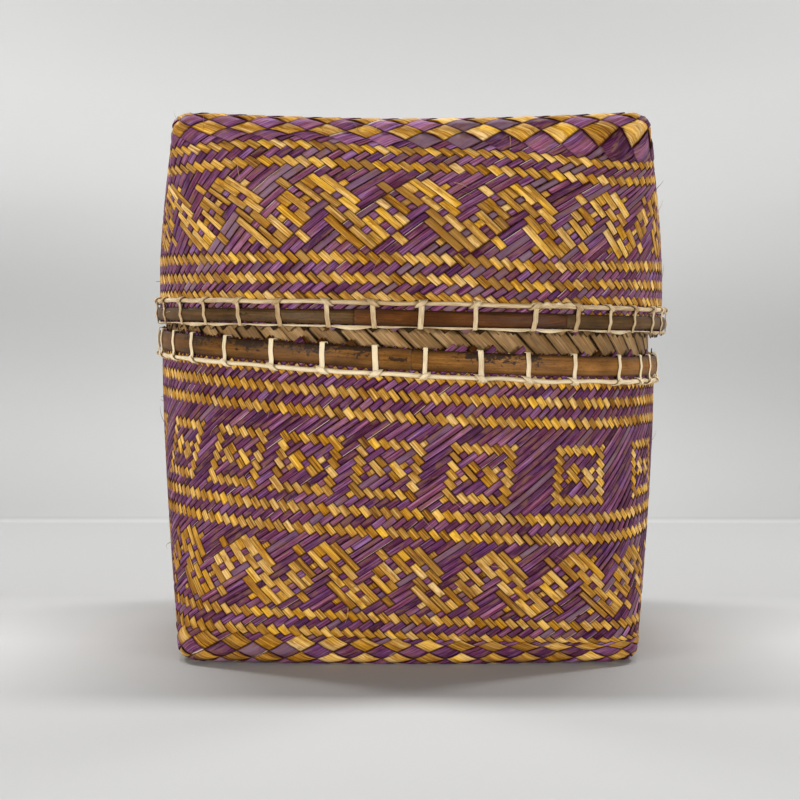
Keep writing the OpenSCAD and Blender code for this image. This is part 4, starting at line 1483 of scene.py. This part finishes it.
class BAMBOO_OT_stage(bpy.types.Operator):
    """Set up the floor, the backdrop, the lamps and the camera"""
    bl_idname = "bamboo.stage"
    bl_label = "Stage"

    def execute(self, context):
        scene = context.scene
        st = scene.bamboo_stage
        foot = st.backdrop - SWEEP_BEND
        profile = [(SWEEP_FRONT, 0.0), (foot, 0.0)]
        for k in range(1, BEND_STEPS + 1):
            a = k / BEND_STEPS * math.pi / 2
            profile.append((foot + SWEEP_BEND * math.sin(a), SWEEP_BEND - SWEEP_BEND * math.cos(a)))
        profile.append((st.backdrop, SWEEP_TOP))
        points = [(x, y, z) for y, z in profile for x in (-SWEEP_HALF, SWEEP_HALF)]
        faces = [(2 * i, 2 * i + 1, 2 * i + 3, 2 * i + 2) for i in range(len(profile) - 1)]
        mesh = bpy.data.meshes.new("paper_sweep")
        mesh.from_pydata(points, [], faces)
        mesh.materials.append(paper_finish(st))
        set_smooth(mesh, [True] * len(faces))
        sweep = put_in_scene("paper_sweep", mesh)

        # The room lights softly but looks pale to the camera
        world = bpy.data.worlds.new("soft_room")
        world.use_nodes = True
        tree = world.node_tree
        room = tree.nodes["Background"].inputs
        room["Color"].default_value = (1.0, 1.0, 1.0, 1.0)
        rays = tree.nodes.new("ShaderNodeLightPath")
        level = tree.nodes.new("ShaderNodeMapRange")
        level.inputs["To Min"].default_value = st.ambient
        level.inputs["To Max"].default_value = ROOM_SEEN
        tree.links.new(rays.outputs["Is Camera Ray"], level.inputs["Value"])
        tree.links.new(level.outputs["Result"], room["Strength"])
        scene.world = world

        for name, (place, turn, size, power) in LAMPS.items():
            data = bpy.data.lights.new(name, "AREA")
            data.shape = "RECTANGLE"
            data.size, data.size_y = size
            data.energy = getattr(st, power)
            lamp = put_in_scene(name, data)
            lamp.location = place
            lamp.rotation_euler = turn

        data = bpy.data.cameras.new("camera")
        data.lens = st.camera_lens
        data.sensor_width = 36.0
        camera = put_in_scene("camera", data)
        camera.location = (0.0, -st.camera_distance, st.camera_height)
        camera.rotation_euler = (math.pi / 2 - st.camera_pitch, 0.0, st.camera_turn)
        scene.camera = camera
        scene.view_settings.view_transform = "Standard"
        return {"FINISHED"}


OPERATORS = (BAMBOO_OT_base_weave, BAMBOO_OT_lid_weave, BAMBOO_OT_linings, BAMBOO_OT_hoops, BAMBOO_OT_canes,
             BAMBOO_OT_lashings, BAMBOO_OT_fibres, BAMBOO_OT_stage)
SETTINGS = {
    "bamboo_form": BAMBOO_PG_form,
    "bamboo_weave": BAMBOO_PG_weave,
    "bamboo_rims": BAMBOO_PG_rims,
    "bamboo_colours": BAMBOO_PG_colours,
    "bamboo_stage": BAMBOO_PG_stage,
}


class BAMBOO_PT_panel(bpy.types.Panel):
    """Lists the steps that make the box"""
    bl_idname = "BAMBOO_PT_panel"
    bl_label = "Bamboo box"
    bl_space_type = "VIEW_3D"
    bl_region_type = "UI"
    bl_category = "Bamboo box"

    def draw(self, context):
        for operator in OPERATORS:
            self.layout.operator(operator.bl_idname)
        for name, group in SETTINGS.items():
            box = self.layout.box()
            box.label(text=group.__doc__)
            for prop in group.__annotations__:
                box.prop(getattr(context.scene, name), prop)


def register():
    for group in SETTINGS.values():
        bpy.utils.register_class(group)
    for name, group in SETTINGS.items():
        setattr(bpy.types.Scene, name, PointerProperty(type=group))
    for cls in (*OPERATORS, BAMBOO_PT_panel):
        bpy.utils.register_class(cls)


def unregister():
    for cls in (BAMBOO_PT_panel, *reversed(OPERATORS)):
        bpy.utils.unregister_class(cls)
    for name in SETTINGS:
        delattr(bpy.types.Scene, name)
    for group in SETTINGS.values():
        bpy.utils.unregister_class(group)


def main():
    register()
    bpy.ops.bamboo.stage()
    bpy.ops.bamboo.base_weave()
    bpy.ops.bamboo.lid_weave()
    bpy.ops.bamboo.linings()
    bpy.ops.bamboo.hoops()
    bpy.ops.bamboo.canes()
    bpy.ops.bamboo.lashings()
    bpy.ops.bamboo.fibres()


if __name__ == "__main__":
    main()
